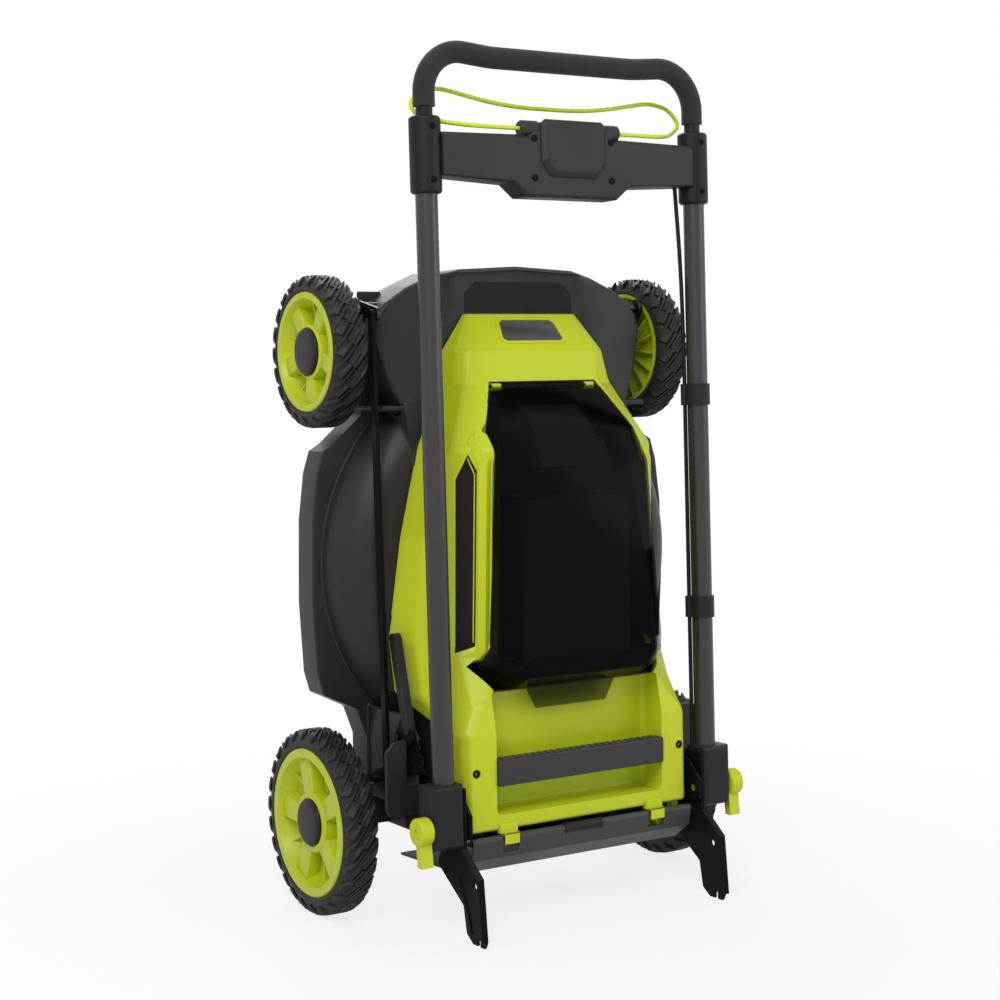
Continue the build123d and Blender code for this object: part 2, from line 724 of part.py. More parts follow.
# Rear flap and its hinge rod
flap_bend = (-95, 66)
flap_tip = (42, 60)
flap_brow = (flap_y - 1, 86)
flap_side = [(flap_y - flap_barrel_radius, flap_z), flap_brow, flap_bend, flap_tip]
flap_side += [(flap_tip[0], flap_tip[1] + flap_wall)]
flap_side += [(flap_bend[0] + flap_wall / 2, flap_bend[1] + flap_wall)]
flap_side += [(flap_brow[0] + flap_wall, flap_brow[1] + flap_wall / 2)]
flap_side += [(flap_y - flap_barrel_radius + flap_wall, flap_z)]
hook_room = 3 * flap_barrel_radius

with BuildPart() as rear_flap:
    rod((flap_y, flap_z), flap_barrel_radius, -flap_half_width, flap_half_width)
    side_slab(flap_side, -flap_half_width, flap_half_width)
    for side in (-1, 1):
        gap_half = hook_width / 2 + moving
        gap = [(flap_y - hook_room, flap_z - hook_room), (flap_y - hook_room, flap_z + hook_room)]
        gap += [(flap_y + hook_room, flap_z + hook_room), (flap_y + hook_room, flap_z - hook_room)]
        side_slab(gap, side * hook_x - gap_half, side * hook_x + gap_half, mode=Mode.SUBTRACT)
    rod((flap_y, flap_z), hinge_pin_radius + running, -flap_hinge_half, flap_hinge_half, Mode.SUBTRACT)
save(rear_flap, "rear_flap")

with BuildPart() as flap_hinge_rod:
    rod((flap_y, flap_z), hinge_pin_radius, -flap_hinge_half, flap_hinge_half)
save(flap_hinge_rod, "flap_hinge_rod")

# Handle brackets, stand legs, knuckles and clamp levers
bracket_x = rear_half_width
bracket_side = [(pivot_y - 12, pivot_z - 12), (pivot_y - 12, pivot_z + 12), (pivot_y + 10, pivot_z + 34)]
bracket_side += [(12, pivot_z + 34), (12, deck_rear + wall), (-60, deck_rear + wall)]
leg_knee = (-167.8, 78)
leg_brow = (-132.3, 105)
leg_toe = (foot_front, 8)
leg_side = [leg_brow, leg_knee, leg_toe, (foot_front + 4, 0), (-148, 0), (-134.5, 9), (-127.8, 40)]
leg_side += [(-72.3, 77), (-88, 112), (pivot_y + 24, pivot_z + 44), (pivot_y - 8, pivot_z + 44)]
leg_side += [(pivot_y - 10, pivot_z)]
lip_side = [leg_brow, leg_knee, leg_toe, (leg_toe[0] + leg_plate, leg_toe[1])]
lip_side += [(leg_knee[0] + leg_plate, leg_knee[1] - leg_plate / 2)]
lip_side += [(leg_brow[0] + leg_plate / 2, leg_brow[1] - leg_plate)]
leg_hole = (-153.2, 67)
leg_rib = [(-144, 12), (-140, 28), (-118, 70)]
leg_notch_y = -160.4
tail_side = [(pivot_y - tail_thickness / 2, pivot_z), (pivot_y - tail_thickness, pivot_z - tail_length)]
tail_side += [(pivot_y, pivot_z - tail_length), (pivot_y + tail_thickness / 2, pivot_z)]
pivot = (pivot_y, pivot_z)
bolt_end = knob_outer - wall

for side, name in ((-1, "left"), (1, "right")):
    with BuildPart() as pivot_bracket:
        side_slab(bracket_side, side * bracket_x, side * (bracket_x + bracket_plate))
        rod(pivot, pivot_radius + running, side * bracket_x, side * leg_x, Mode.SUBTRACT)
    save(pivot_bracket, "pivot_bracket_" + name)

    with BuildPart() as stand_leg:
        side_slab(leg_side, side * leg_x, side * (leg_x + leg_plate))
        side_slab(lip_side, side * leg_x, side * (leg_x + leg_lip))
        rib_x = side * (leg_x + leg_plate)
        for first, second in zip(leg_rib, leg_rib[1:]):
            strap(first, second, leg_rib_width, rib_x, rib_x + side * leg_rib_height)
        rod(pivot, pivot_radius + running, side * leg_x, side * knuckle_outer, Mode.SUBTRACT)
        rod(leg_hole, leg_hole_radius, side * leg_x, side * knuckle_outer, Mode.SUBTRACT)
        notch_top = (leg_notch_y, leg_notch_depth - leg_notch_width / 2)
        notch_foot = (leg_notch_y, -leg_notch_depth)
        strap(notch_foot, notch_top, leg_notch_width, side * leg_x, side * knuckle_outer, Mode.SUBTRACT)
    save(stand_leg, "stand_leg_" + name)

    with BuildPart() as knuckle_cover:
        outline = [(side * knuckle_inner, knuckle_low), (side * knuckle_outer, knuckle_low)]
        outline += [(side * knuckle_outer, knuckle_high), (side * knuckle_inner, knuckle_high)]
        handle_block(outline, -knuckle_back, knuckle_front)
        fillet(knuckle_cover.faces().sort_by(Axis.Y)[0].edges(), knuckle_edge)
        handle_rod(side * tube_x, 0, tube_radius + running, tube_low, knuckle_high, Mode.SUBTRACT)
        rod(pivot, pivot_radius + running, side * knuckle_inner, side * knuckle_outer, Mode.SUBTRACT)
    save(knuckle_cover, "knuckle_cover_" + name)

    with BuildPart() as clamp_lever:
        rod(pivot, knob_radius, side * knob_inner, side * knob_outer)
        fillet(clamp_lever.edges().filter_by(GeomType.CIRCLE), knob_edge)
        side_slab(tail_side, side * knob_inner, side * (knob_inner + tail_width))
        rod(pivot, pivot_radius + running, side * knob_inner, side * bolt_end, Mode.SUBTRACT)
        rod(pivot, pivot_radius, side * (knob_outer - wall / 2), side * knob_outer, Mode.SUBTRACT)
    save(clamp_lever, "clamp_lever_" + name)

with BuildPart() as pivot_bolts:
    for side in (-1, 1):
        rod(pivot, pivot_radius, side * bracket_x, side * (bolt_end - moving))
save(pivot_bolts, "pivot_bolts")

# Height adjustment: notched plate, axles with their cranks, lever and link
quadrant_x = -(guard_inner + wall)
quadrant_span = quadrant_end - quadrant_start

with BuildPart() as height_quadrant:
    with BuildSketch(beside(quadrant_x)) as sector:
        with Locations(rear_pivot):
            Circle(quadrant_outer)
            Circle(quadrant_inner, mode=Mode.SUBTRACT)
        wedge = [rear_pivot]
        for angle in (quadrant_start, (quadrant_start + quadrant_end) / 2, quadrant_end):
            wedge.append(around(rear_pivot, 2 * quadrant_outer, angle))
        Polygon(*wedge, align=None, mode=Mode.INTERSECT)
        with Locations(rear_pivot):
            with PolarLocations(quadrant_outer, quadrant_notches, quadrant_start + quadrant_notch,
                                quadrant_span - 2 * quadrant_notch, endpoint=True):
                Circle(quadrant_notch, mode=Mode.SUBTRACT)
    extrude(sector.sketch, amount=-quadrant_plate)
save(height_quadrant, "height_quadrant")

with BuildPart() as quadrant_bolts:
    bolt_x = quadrant_x - quadrant_plate
    for angle in (quadrant_start, quadrant_end - quadrant_span / 4):
        place = around(rear_pivot, quadrant_bolt_ring, angle + quadrant_notch)
        rod(place, quadrant_bolt_radius, bolt_x, bolt_x - quadrant_bolt_height)
save(quadrant_bolts, "quadrant_bolts")


def axle_assembly(pivot_place, axle_place, pin_place, crank_x, wheel_face):
    """Cross rod with a crank and a wheel stub at each end and the horn for the link on the left."""
    rod(pivot_place, axle_radius, -crank_x - crank_plate, crank_x + crank_plate)
    for side in (-1, 1):
        strap(pivot_place, axle_place, 2 * crank_eye, side * crank_x, side * (crank_x + crank_plate))
        rod(axle_place, axle_radius, side * crank_x, side * (wheel_face - hub_cap_height - moving))
    strap(pivot_place, pin_place, 2 * horn_eye, -horn_x, -horn_x - horn_plate)
    rod(pin_place, link_pin_radius, -horn_x, -link_x - link_plate)


link_x = horn_x + horn_plate + moving
with BuildPart() as rear_axle_set:
    axle_assembly(rear_pivot, rear_axle, rear_pin, rear_crank_x, rear_wheel_face)
save(rear_axle_set, "rear_axle")

with BuildPart() as front_axle_set:
    axle_assembly(front_pivot, front_axle, front_pin, front_crank_x, front_wheel_face)
save(front_axle_set, "front_axle")

with BuildPart() as link_rod:
    strap(rear_pin, front_pin, link_width, -link_x, -link_x - link_plate)
    rod(rear_pin, link_pin_radius + running, -link_x, -link_x - link_plate, Mode.SUBTRACT)
    rod(front_pin, link_pin_radius + front_pin_play, -link_x, -link_x - link_plate, Mode.SUBTRACT)
save(link_rod, "link_rod")

upper_run = Vector(lever_tip) - Vector(lever_knee)
grip_start = Vector(lever_knee) + upper_run.normalized() * lever_bare
grip_place = (grip_start.X, grip_start.Y)
grip_x = lever_x + lever_plate / 2 - lever_grip_thickness / 2

with BuildPart() as height_lever:
    strap(rear_pivot, lever_knee, lever_width, -lever_x, -lever_x - lever_plate)
    strap(lever_knee, lever_tip, lever_width, -lever_x, -lever_x - lever_plate)
    rod(rear_pivot, crank_eye, -lever_x, -lever_x - lever_plate)
    rod(rear_pivot, axle_radius, -lever_x, -lever_x - lever_plate, Mode.SUBTRACT)
save(height_lever, "height_lever")

with BuildPart() as lever_grip:
    strap(grip_place, lever_tip, lever_grip_width, -grip_x, -grip_x - lever_grip_thickness)
    strap(lever_knee, lever_tip, lever_width, -lever_x, -lever_x - lever_plate, Mode.SUBTRACT)
save(lever_grip, "lever_grip")


# Wheels: tyre, dished rim and hub cap
def wheel(name, side, place, face, width, tyre_radius, rim_radius):
    inner = side * (face - width)
    outer = side * face
    cap_seat = side * (face - hub_cap_height)
    with BuildPart() as tyre:
        rod(place, tyre_radius, inner, outer)
        fillet(tyre.edges().filter_by(GeomType.CIRCLE), tyre_shoulder)
        rod(place, rim_radius, inner, outer, Mode.SUBTRACT)
    save(tyre, "tyre_" + name)

    bore = axle_radius + running
    lip = rim_radius - rim_lip
    profile = [(0, rim_radius), (0, lip), (rim_dish, hub_radius + hub_foot), (rim_dish, hub_radius)]
    profile += [(hub_cap_height, hub_radius), (hub_cap_height, bore), (width, bore), (width, hub_tube)]
    profile += [(rim_dish + rim_web, hub_tube), (rim_dish + rim_web, hub_radius + hub_foot)]
    profile += [(2 * rim_web, rim_radius - rim_wall), (width, rim_radius - rim_wall), (width, rim_radius)]
    spoke_length = (lip - hub_radius) * spoke_share
    with BuildPart() as rim:
        with BuildSketch(Plane(origin=(0, *place), x_dir=(1, 0, 0), z_dir=(0, -1, 0))) as section:
            Polygon(*[(side * (face - below), radius) for below, radius in profile], align=None)
        revolve(section.sketch, axis=Axis((0, *place), (1, 0, 0)))
        with BuildSketch(beside(side * (face - rim_dish))) as spokes:
            with Locations(place):
                with PolarLocations(hub_radius + spoke_length / 2 - rim_web / 2, spoke_count, spoke_angle):
                    Rectangle(spoke_length + rim_web, spoke_width)
        extrude(spokes.sketch, amount=side * (rim_dish - spoke_drop))
    save(rim, "rim_" + name)

    with BuildPart() as hub_cap:
        rod(place, hub_cap_radius, cap_seat, outer)
        outer_edge = hub_cap.edges().filter_by(GeomType.CIRCLE).sort_by(lambda edge: abs(edge.center().X))[-1]
        fillet(outer_edge, hub_cap_edge)
    save(hub_cap, "hub_cap_" + name)


front_sizes = (front_axle, front_wheel_face, front_wheel_width, front_tyre_radius, front_rim_radius)
rear_sizes = (rear_axle, rear_wheel_face, rear_wheel_width, rear_tyre_radius, rear_rim_radius)
for side, name in ((-1, "left"), (1, "right")):
    wheel("front_" + name, side, *front_sizes)
    wheel("rear_" + name, side, *rear_sizes)

# Handle
bar_low = tube_high + moving
bar_half = [(tube_x, bar_top), (bar_dip_half, bar_dip)]
bar_corners = both_sides(bar_half)
bar_radii = [bar_bend, bar_dip_bend, bar_dip_bend, bar_bend]


def bar_route(low):
    ends = [(tube_x, low)] + bar_corners + [(-tube_x, low)]
    return [handle_point(x, 0, s) for x, s in ends]


for side, name in ((-1, "left"), (1, "right")):
    with BuildPart() as handle_tube:
        handle_rod(side * tube_x, 0, tube_radius, tube_low, tube_high)
        handle_rod(side * tube_x, 0, tube_radius - tube_wall, tube_low, tube_high, Mode.SUBTRACT)
    save(handle_tube, "handle_tube_" + name)

    with BuildPart() as handle_collar:
        handle_rod(side * tube_x, 0, collar_radius, collar_low, collar_high)
        fillet(handle_collar.edges().filter_by(GeomType.CIRCLE), collar_edge)
        handle_rod(side * tube_x, 0, tube_radius + running, collar_low, tube_high + moving / 2, Mode.SUBTRACT)
        handle_rod(side * tube_x, 0, bar_radius + running, tube_high, collar_high, Mode.SUBTRACT)
        for s in collar_screws:
            handle_post(side * tube_x, s, small_screw_radius + running, collar_radius - small_screw_height,
                        collar_radius, Mode.SUBTRACT)
    save(handle_collar, "handle_collar_" + name)

with BuildPart() as upper_handlebar:
    swept(bar_route(bar_low), bar_radii, bar_radius, bar_radius - tube_wall)
save(upper_handlebar, "upper_handlebar")

with BuildPart() as handlebar_grip:
    swept(bar_route(grip_low), bar_radii, grip_radius, bar_radius + running)
save(handlebar_grip, "handlebar_grip")

# Control housing between the collars
bail_hole = bail_radius + running
with BuildPart() as control_housing:
    handle_block(box_outline(box_half_width, box_low, box_high, box_corner), -box_back, box_front)
    handle_block(box_outline(tube_x, cross_low, cross_high), -cross_half_depth, cross_half_depth)
    handle_block(box_outline(box_half_width - box_wall, box_low + box_wall, box_high - box_wall, box_corner),
                 box_wall - box_back, box_front - box_wall, Mode.SUBTRACT)
    for side in (-1, 1):
        handle_rod(side * tube_x, 0, collar_radius + running, box_low, box_high, Mode.SUBTRACT)
        start = handle_point(side * bail_start, bail_n, bail_s)
        rod((start.Y, start.Z), bail_hole, side * bail_start, side * box_half_width, Mode.SUBTRACT)
    button_bore = button_radius + button_play
    handle_post(button_x, button_s, button_bore, -box_back, box_wall - box_back, Mode.SUBTRACT)
save(control_housing, "control_housing")

with BuildPart() as control_cover:
    panel_outline = box_outline(panel_half_width, panel_low, panel_high, panel_corner)
    handle_block(panel_outline, box_front, box_front + panel_height)
    chamfer(control_cover.faces().sort_by(Axis.Y)[0].edges(), panel_edge)
save(control_cover, "control_cover")

with BuildPart() as start_button:
    handle_post(button_x, button_s, button_radius, -box_back - button_height, box_wall - box_back)
    inside = box_wall - box_back
    button_flange = button_bore + button_play + moving
    handle_post(button_x, button_s, button_flange, inside + button_play, inside + box_wall)
    handle_post(button_x, button_s, button_radius, inside, inside + box_wall)
save(start_button, "start_button")

# Bail: wire lever behind the handlebar, from the housing round the bar's ends and back
bail_half = [(bail_start, bail_n, bail_s), (140, bail_n, bail_s), (175, -24, 800), (192, -28, 812)]
bail_half += [(180, -34, 832), (150, -34, 838), (60, -34, 822)]
bail_route = [handle_point(*place) for place in bail_half]
bail_route += [handle_point(-x, n, s) for x, n, s in reversed(bail_half)]

with BuildPart() as bail:
    swept(bail_route, wide_bends(bail_route), bail_radius)
save(bail, "bail")

# Cable from the housing down the right tube, with its clips
cable_x = 177.5
cable_n = -10.5
cable_places = [(165, -6, cross_low - 2 * seat), (174, -9, 640)]
cable_places += [(cable_x, cable_n, 540), (cable_x, cable_n, knuckle_high)]
cable_route = [handle_point(*place) for place in cable_places]

with BuildPart() as control_cable:
    swept(cable_route, wide_bends(cable_route), cable_radius)
save(control_cable, "control_cable")

with BuildPart() as cable_clips:
    for place in clip_places:
        handle_rod(tube_x, 0, tube_radius + clip_wall, place, place + clip_height)
        handle_rod(cable_x, cable_n, cable_radius + clip_wall, place, place + clip_height)
    handle_rod(tube_x, 0, tube_radius + running, tube_low, tube_high, Mode.SUBTRACT)
    handle_rod(cable_x, cable_n, cable_radius + running, tube_low, tube_high, Mode.SUBTRACT)
save(cable_clips, "cable_clips")

with BuildPart() as handle_screws:
    for side in (-1, 1):
        for s in collar_screws:
            sunk = collar_radius - small_screw_height
            handle_post(side * tube_x, s, small_screw_radius, sunk, collar_radius)
        for s in box_screws:
            handle_post(side * box_screw_x, s, small_screw_radius, box_front, box_front + small_screw_height)
save(handle_screws, "handle_screws")
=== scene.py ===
import json
from math import cos, hypot, pi, radians, sin, sqrt

import bpy
from mathutils import Matrix, Vector


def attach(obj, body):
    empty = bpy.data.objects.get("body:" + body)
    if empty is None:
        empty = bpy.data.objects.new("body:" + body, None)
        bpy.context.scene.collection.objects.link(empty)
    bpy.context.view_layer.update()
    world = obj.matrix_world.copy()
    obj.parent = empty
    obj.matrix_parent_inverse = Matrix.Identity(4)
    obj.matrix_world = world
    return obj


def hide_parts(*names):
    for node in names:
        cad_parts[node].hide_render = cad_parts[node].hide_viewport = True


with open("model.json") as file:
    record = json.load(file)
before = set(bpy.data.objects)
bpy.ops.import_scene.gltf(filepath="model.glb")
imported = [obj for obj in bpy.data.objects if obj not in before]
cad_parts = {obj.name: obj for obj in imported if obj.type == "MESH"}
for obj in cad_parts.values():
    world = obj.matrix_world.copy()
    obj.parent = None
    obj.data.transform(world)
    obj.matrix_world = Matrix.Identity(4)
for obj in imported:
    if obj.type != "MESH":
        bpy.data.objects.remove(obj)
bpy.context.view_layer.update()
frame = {"nodes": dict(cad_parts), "record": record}
nodes = frame["nodes"]
nodeSlot = {facts["node"]: facts["material_slot"] for facts in frame["record"]["subparts"]}
nodeBody = {node: body for body, names in frame["record"]["behaviour"]["bodies"].items() for node in names}
mm = 0.001
weldGaps = {"turned": 1e-5, "lofted": 1e-6, "cad": 2e-5}       # in metres
print("frame loaded with", len(nodes), "nodes")


# selection and small modelling helpers

def setMode(mode):
    bpy.ops.object.mode_set(mode=mode)


def clearSelection():
    if bpy.context.mode != "OBJECT":
        setMode("OBJECT")
    bpy.ops.object.select_all(action="DESELECT")


def pick(piece):
    clearSelection()
    piece.select_set(True)
    bpy.context.view_layer.objects.active = piece


def settle(piece, name):
    pick(piece)
    piece.name = name
    piece.data.name = name
    bpy.ops.object.transform_apply(location=True, rotation=True, scale=True)


def applyModifiers(piece):
    pick(piece)
    for modifier in list(piece.modifiers):
        bpy.ops.object.modifier_apply(modifier=modifier.name)


# runs each step on the whole mesh in edit mode
def editAll(piece, *steps):
    pick(piece)
    setMode("EDIT")
    for step in steps:
        bpy.ops.mesh.select_all(action="SELECT")
        step()
    setMode("OBJECT")


def weld(kind):
    bpy.ops.mesh.remove_doubles(threshold=weldGaps[kind])


def faceOutward():
    bpy.ops.mesh.normals_make_consistent(inside=False)


def fillOpenEnds(piece):
    editAll(piece, lambda: bpy.ops.mesh.fill_holes(sides=0), faceOutward)


def roundEdges(piece, width, segments=2, sharp=30, clamp=True):
    bevel = piece.modifiers.new("roundEdges", "BEVEL")
    bevel.width = width
    bevel.segments = segments
    bevel.limit_method = "ANGLE"
    bevel.angle_limit = radians(sharp)
    bevel.use_clamp_overlap = clamp
    bevel.miter_outer = "MITER_ARC"
    applyModifiers(piece)


def addWall(piece, thickness):
    wall = piece.modifiers.new("wall", "SOLIDIFY")
    wall.thickness = thickness * mm
    wall.offset = -1
    applyModifiers(piece)


def cutAway(piece, cutters):
    for cutter in cutters:
        cut = piece.modifiers.new("cut", "BOOLEAN")
        cut.operation = "DIFFERENCE"
        cut.solver = "EXACT"
        cut.object = cutter
        applyModifiers(piece)
        bpy.data.objects.remove(cutter, do_unlink=True)


def smooth(piece, angle=35, weighted=False):
    pick(piece)
    bpy.ops.object.shade_smooth_by_angle(angle=radians(angle))
    if weighted:            # large flat faces keep their own normals beside a rounding
        normals = piece.modifiers.new("flatFaces", "WEIGHTED_NORMAL")
        normals.keep_sharp = True
        applyModifiers(piece)
    return piece


def joined(pieces, name):
    clearSelection()
    for piece in pieces:
        piece.select_set(True)
    bpy.context.view_layer.objects.active = pieces[0]
    if len(pieces) > 1:
        bpy.ops.object.join()
    settle(pieces[0], name)
    return pieces[0]


def copied(piece, name, matrix):
    twin = bpy.data.objects.new(name, piece.data.copy())
    bpy.context.collection.objects.link(twin)
    twin.data.transform(matrix)
    twin.data.name = name
    return twin


def aboutX(place, angle):
    center = Matrix.Translation((0, place[0], place[1]))
    return center @ Matrix.Rotation(angle, 4, "X") @ center.inverted()


def dress(piece, slotName, body, *replaced):
    piece.data.materials.clear()
    piece.data.materials.append(materials[slotName])
    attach(piece, body)
    if replaced:
        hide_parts(*replaced)


# rings round the X axis at a place in Y and Z, one for each (x, radius) of the profile
def turned(name, place, profile, segments=72, closed=False):
    clearSelection()
    firstX, firstRadius = profile[0]
    bpy.ops.mesh.primitive_circle_add(vertices=segments, radius=firstRadius,
                                      location=(firstX, place[0], place[1]), rotation=(0, pi / 2, 0))
    piece = bpy.context.object
    settle(piece, name)
    setMode("EDIT")
    bpy.ops.mesh.select_all(action="SELECT")
    for (oldX, oldRadius), (newX, newRadius) in zip(profile, profile[1:]):
        bpy.ops.mesh.extrude_region_move(TRANSFORM_OT_translate={"value": (newX - oldX, 0, 0)})
        scale = newRadius / oldRadius
        bpy.ops.transform.resize(value=(1, scale, scale), center_override=(newX, place[0], place[1]))
    if not closed:
        bpy.ops.mesh.edge_face_add()
    bpy.ops.mesh.select_all(action="SELECT")
    weld("turned")
    faceOutward()
    setMode("OBJECT")
    if not closed:
        fillOpenEnds(piece)
    return piece


def metres(points):
    return [(x * mm, y * mm, z * mm) for x, y, z in points]


# the whole outline from its right half, which may end on the middle
def bothSides(half):
    return list(half) + [(-x, other) for x, other in reversed(half) if x]


def levelRing(half, z):
    return metres((x, y, z) for x, y in bothSides(half))


def deselectMesh(piece):
    pick(piece)
    for item in list(piece.data.polygons) + list(piece.data.edges) + list(piece.data.vertices):
        item.select = False


def removeFaces(piece, test):
    deselectMesh(piece)
    for polygon in piece.data.polygons:
        polygon.select = test(polygon)
    bpy.context.tool_settings.mesh_select_mode = (False, False, True)
    setMode("EDIT")
    bpy.ops.mesh.delete(type="FACE")
    bpy.context.tool_settings.mesh_select_mode = (True, False, False)
    setMode("OBJECT")


def pointRing(name, points):
    clearSelection()
    bpy.ops.mesh.primitive_circle_add(vertices=len(points), radius=1)
    ring = bpy.context.object
    for vertex, point in zip(ring.data.vertices, points):
        vertex.co = point
    settle(ring, name)
    return ring


# skin from ring to ring, with its ends filled, or closed round on itself; edge is its rounding in millimetres
def lofted(name, rings, closed=False, edge=0, segments=3, sharp=30):
    body = pointRing(name, rings[0])
    for points in rings[1:] + rings[:1] * closed:
        body = joined([body, pointRing(name + "_ring", points)], name)
        lastRings = len(body.data.vertices) - 2 * len(points)
        deselectMesh(body)
        for vertex in body.data.vertices:
            vertex.select = vertex.index >= lastRings
        bpy.context.tool_settings.mesh_select_mode = (True, False, False)
        setMode("EDIT")
        bpy.ops.mesh.select_mode(type="VERT")
        bpy.ops.mesh.bridge_edge_loops()
        bpy.ops.mesh.select_all(action="SELECT")
        weld("lofted")
        setMode("OBJECT")
    fillOpenEnds(body)
    if edge:
        roundEdges(body, edge * mm, segments, sharp)
    return body


# a closed prism between two depths, from an outline in X and Z
def prism(name, outline, back, front, edge=0, segments=3):
    return lofted(name, [metres((x, y, z) for x, z in outline) for y in (back, front)], edge=edge,
                  segments=segments)


def roundedBox(name, low, high, edge, segments=3):
    (lowX, lowY, lowZ), (highX, highY, highZ) = low, high
    foot = [(lowX, lowY), (highX, lowY), (highX, highY), (lowX, highY)]
    return lofted(name, [metres((x, y, z) for x, y in foot) for z in (lowZ, highZ)], edge=edge,
                  segments=segments)


# a CAD node's mesh with its edges rounded off
def softened(nodeName, width, segments=2, sharp=30, flat=0.6, clamp=True, cutter=None):
    piece = bpy.data.objects.new(nodeName + "_soft", nodes[nodeName].data.copy())
    bpy.context.collection.objects.link(piece)
    steps = [lambda: weld("cad")]
    if flat:
        steps.append(lambda: bpy.ops.mesh.dissolve_limited(angle_limit=radians(flat)))
    editAll(piece, *steps)
    if cutter:
        cutAway(piece, [cutter()])
    roundEdges(piece, width, segments, sharp, clamp)
    return smooth(piece, weighted=True)


# camera at the photograph's viewing angle
cameraLook = {
    "place": (-1.303, -1.9803, 0.665),
    "turn": 32.64,      # from the Y axis towards X
    "down": 4.3,
    "roll": -0.68,
    "lens": 69.955,
    "sensor": 36.0,
    "clip": 50,
}


def setCamera(look):
    turn, down, roll = radians(look["turn"]), radians(look["down"]), radians(look["roll"])
    ahead = Vector((sin(turn) * cos(down), cos(turn) * cos(down), -sin(down)))
    across = Vector((cos(turn), -sin(turn), 0))
    upward = Vector((sin(turn) * sin(down), cos(turn) * sin(down), cos(down)))
    right = across * cos(roll) + upward * sin(roll)
    top = upward * cos(roll) - across * sin(roll)
    data = bpy.data.cameras.new("camera")
    data.lens = look["lens"]
    data.sensor_width = look["sensor"]
    data.clip_end = look["clip"]
    camera = bpy.data.objects.new("camera", data)
    bpy.context.collection.objects.link(camera)
    camera.matrix_world = Matrix((
        (right.x, top.x, -ahead.x, look["place"][0]),
        (right.y, top.y, -ahead.y, look["place"][1]),
        (right.z, top.z, -ahead.z, look["place"][2]),
        (0, 0, 0, 1),
    ))
    bpy.context.scene.camera = camera


setCamera(cameraLook)
bpy.context.scene.view_settings.view_transform = "Standard"


# shader helpers

# a node with its settings, and its inputs as links or as plain values
def addNode(tree, kind, inputs=None, **settings):
    node = tree.nodes.new("ShaderNode" + kind)
    for label, value in settings.items():
        setattr(node, label, value)
    for label, value in (inputs or {}).items():
        if isinstance(value, bpy.types.NodeSocket):
            tree.links.new(value, node.inputs[label])
        else:
            node.inputs[label].default_value = value
    return node


def mathNode(tree, operation, first, second):
    return addNode(tree, "Math", {0: first, 1: second}, operation=operation).outputs[0]


def objectCoords(tree, stretch=None):
    coords = addNode(tree, "TexCoord").outputs["Object"]
    if stretch is None:
        return coords
    return addNode(tree, "Mapping", {"Vector": coords, "Scale": stretch}).outputs["Vector"]


def noiseNode(tree, vector, scale, detail):
    return addNode(tree, "TexNoise", {"Vector": vector, "Scale": scale, "Detail": detail}).outputs["Fac"]


def ramp(tree, value, band):
    inputs = {"Value": value, "From Min": band[0], "From Max": band[1]}
    return addNode(tree, "MapRange", inputs).outputs["Result"]


# studio: three soft boxes, a white world and a pale floor
softBoxes = {
    "keyBox": {"place": (-1.6, -1.7, 2.3), "size": 1.6, "power": 44},
    "fillBox": {"place": (1.9, -1.9, 1.3), "size": 1.8, "power": 13},
    "backBox": {"place": (0.5, 1.8, 2.2), "size": 1.6, "power": 22},
}
boxTarget = (0, 0, 0.45)
worldLook = {"color": (1, 1, 1, 1), "seen": 1.0, "light": 0.38}
floorLook = {"size": 80, "height": -0.0006, "color": (0.9, 0.9, 0.9, 1), "seen": 0.8, "fadeFrom": 0.35,
             "fadeTo": 1.1}


def addSoftBox(name, look):
    data = bpy.data.lights.new(name, "AREA")
    data.shape = "DISK"
    data.size = look["size"]
    data.energy = look["power"]
    lamp = bpy.data.objects.new(name, data)
    bpy.context.collection.objects.link(lamp)
    lamp.location = look["place"]
    lamp.rotation_euler = (Vector(boxTarget) - lamp.location).to_track_quat("-Z", "Y").to_euler()


# rays that find a white background: straight, in a gloss or through the lid
def backgroundRays(tree):
    path = addNode(tree, "LightPath").outputs
    straight = mathNode(tree, "MAXIMUM", path["Is Camera Ray"], path["Is Glossy Ray"])
    return mathNode(tree, "MAXIMUM", straight, path["Is Transmission Ray"])


def setWorld(look):
    world = bpy.data.worlds.new("studioWhite")
    bpy.context.scene.world = world
    world.use_nodes = True
    tree = world.node_tree
    tree.nodes.clear()
    light, seen = [addNode(tree, "Background", {"Color": look["color"], "Strength": look[use]}).outputs[0]
                   for use in ("light", "seen")]
    mix = addNode(tree, "MixShader", {0: backgroundRays(tree), 1: light, 2: seen})
    addNode(tree, "OutputWorld", {"Surface": mix.outputs[0]})


def addFloor(look):
    clearSelection()
    bpy.ops.mesh.primitive_plane_add(size=look["size"], location=(0, 0, look["height"]))
    floor = bpy.context.object
    settle(floor, "studio_floor")
    material = bpy.data.materials.new("paleFloor")
    material.use_nodes = True
    tree = material.node_tree
    tree.nodes.clear()
    matt = addNode(tree, "BsdfDiffuse", {"Color": look["color"]}).outputs[0]
    white = addNode(tree, "Emission").outputs[0]
    reach = addNode(tree, "VectorMath", {0: objectCoords(tree)}, operation="LENGTH").outputs["Value"]
    # the shadow's floor turns into the white background
    fadeInputs = {"Value": reach, "From Min": look["fadeFrom"], "From Max": look["fadeTo"],
                  "To Min": look["seen"]}
    fade = addNode(tree, "MapRange", fadeInputs, interpolation_type="SMOOTHSTEP").outputs["Result"]
    share = mathNode(tree, "MULTIPLY", backgroundRays(tree), fade)
    mix = addNode(tree, "MixShader", {0: share, 1: matt, 2: white})
    addNode(tree, "OutputMaterial", {"Surface": mix.outputs[0]})
    floor.data.materials.append(material)


for boxName, boxLook in softBoxes.items():
    addSoftBox(boxName, boxLook)
setWorld(worldLook)
addFloor(floorLook)
print("camera and studio set")

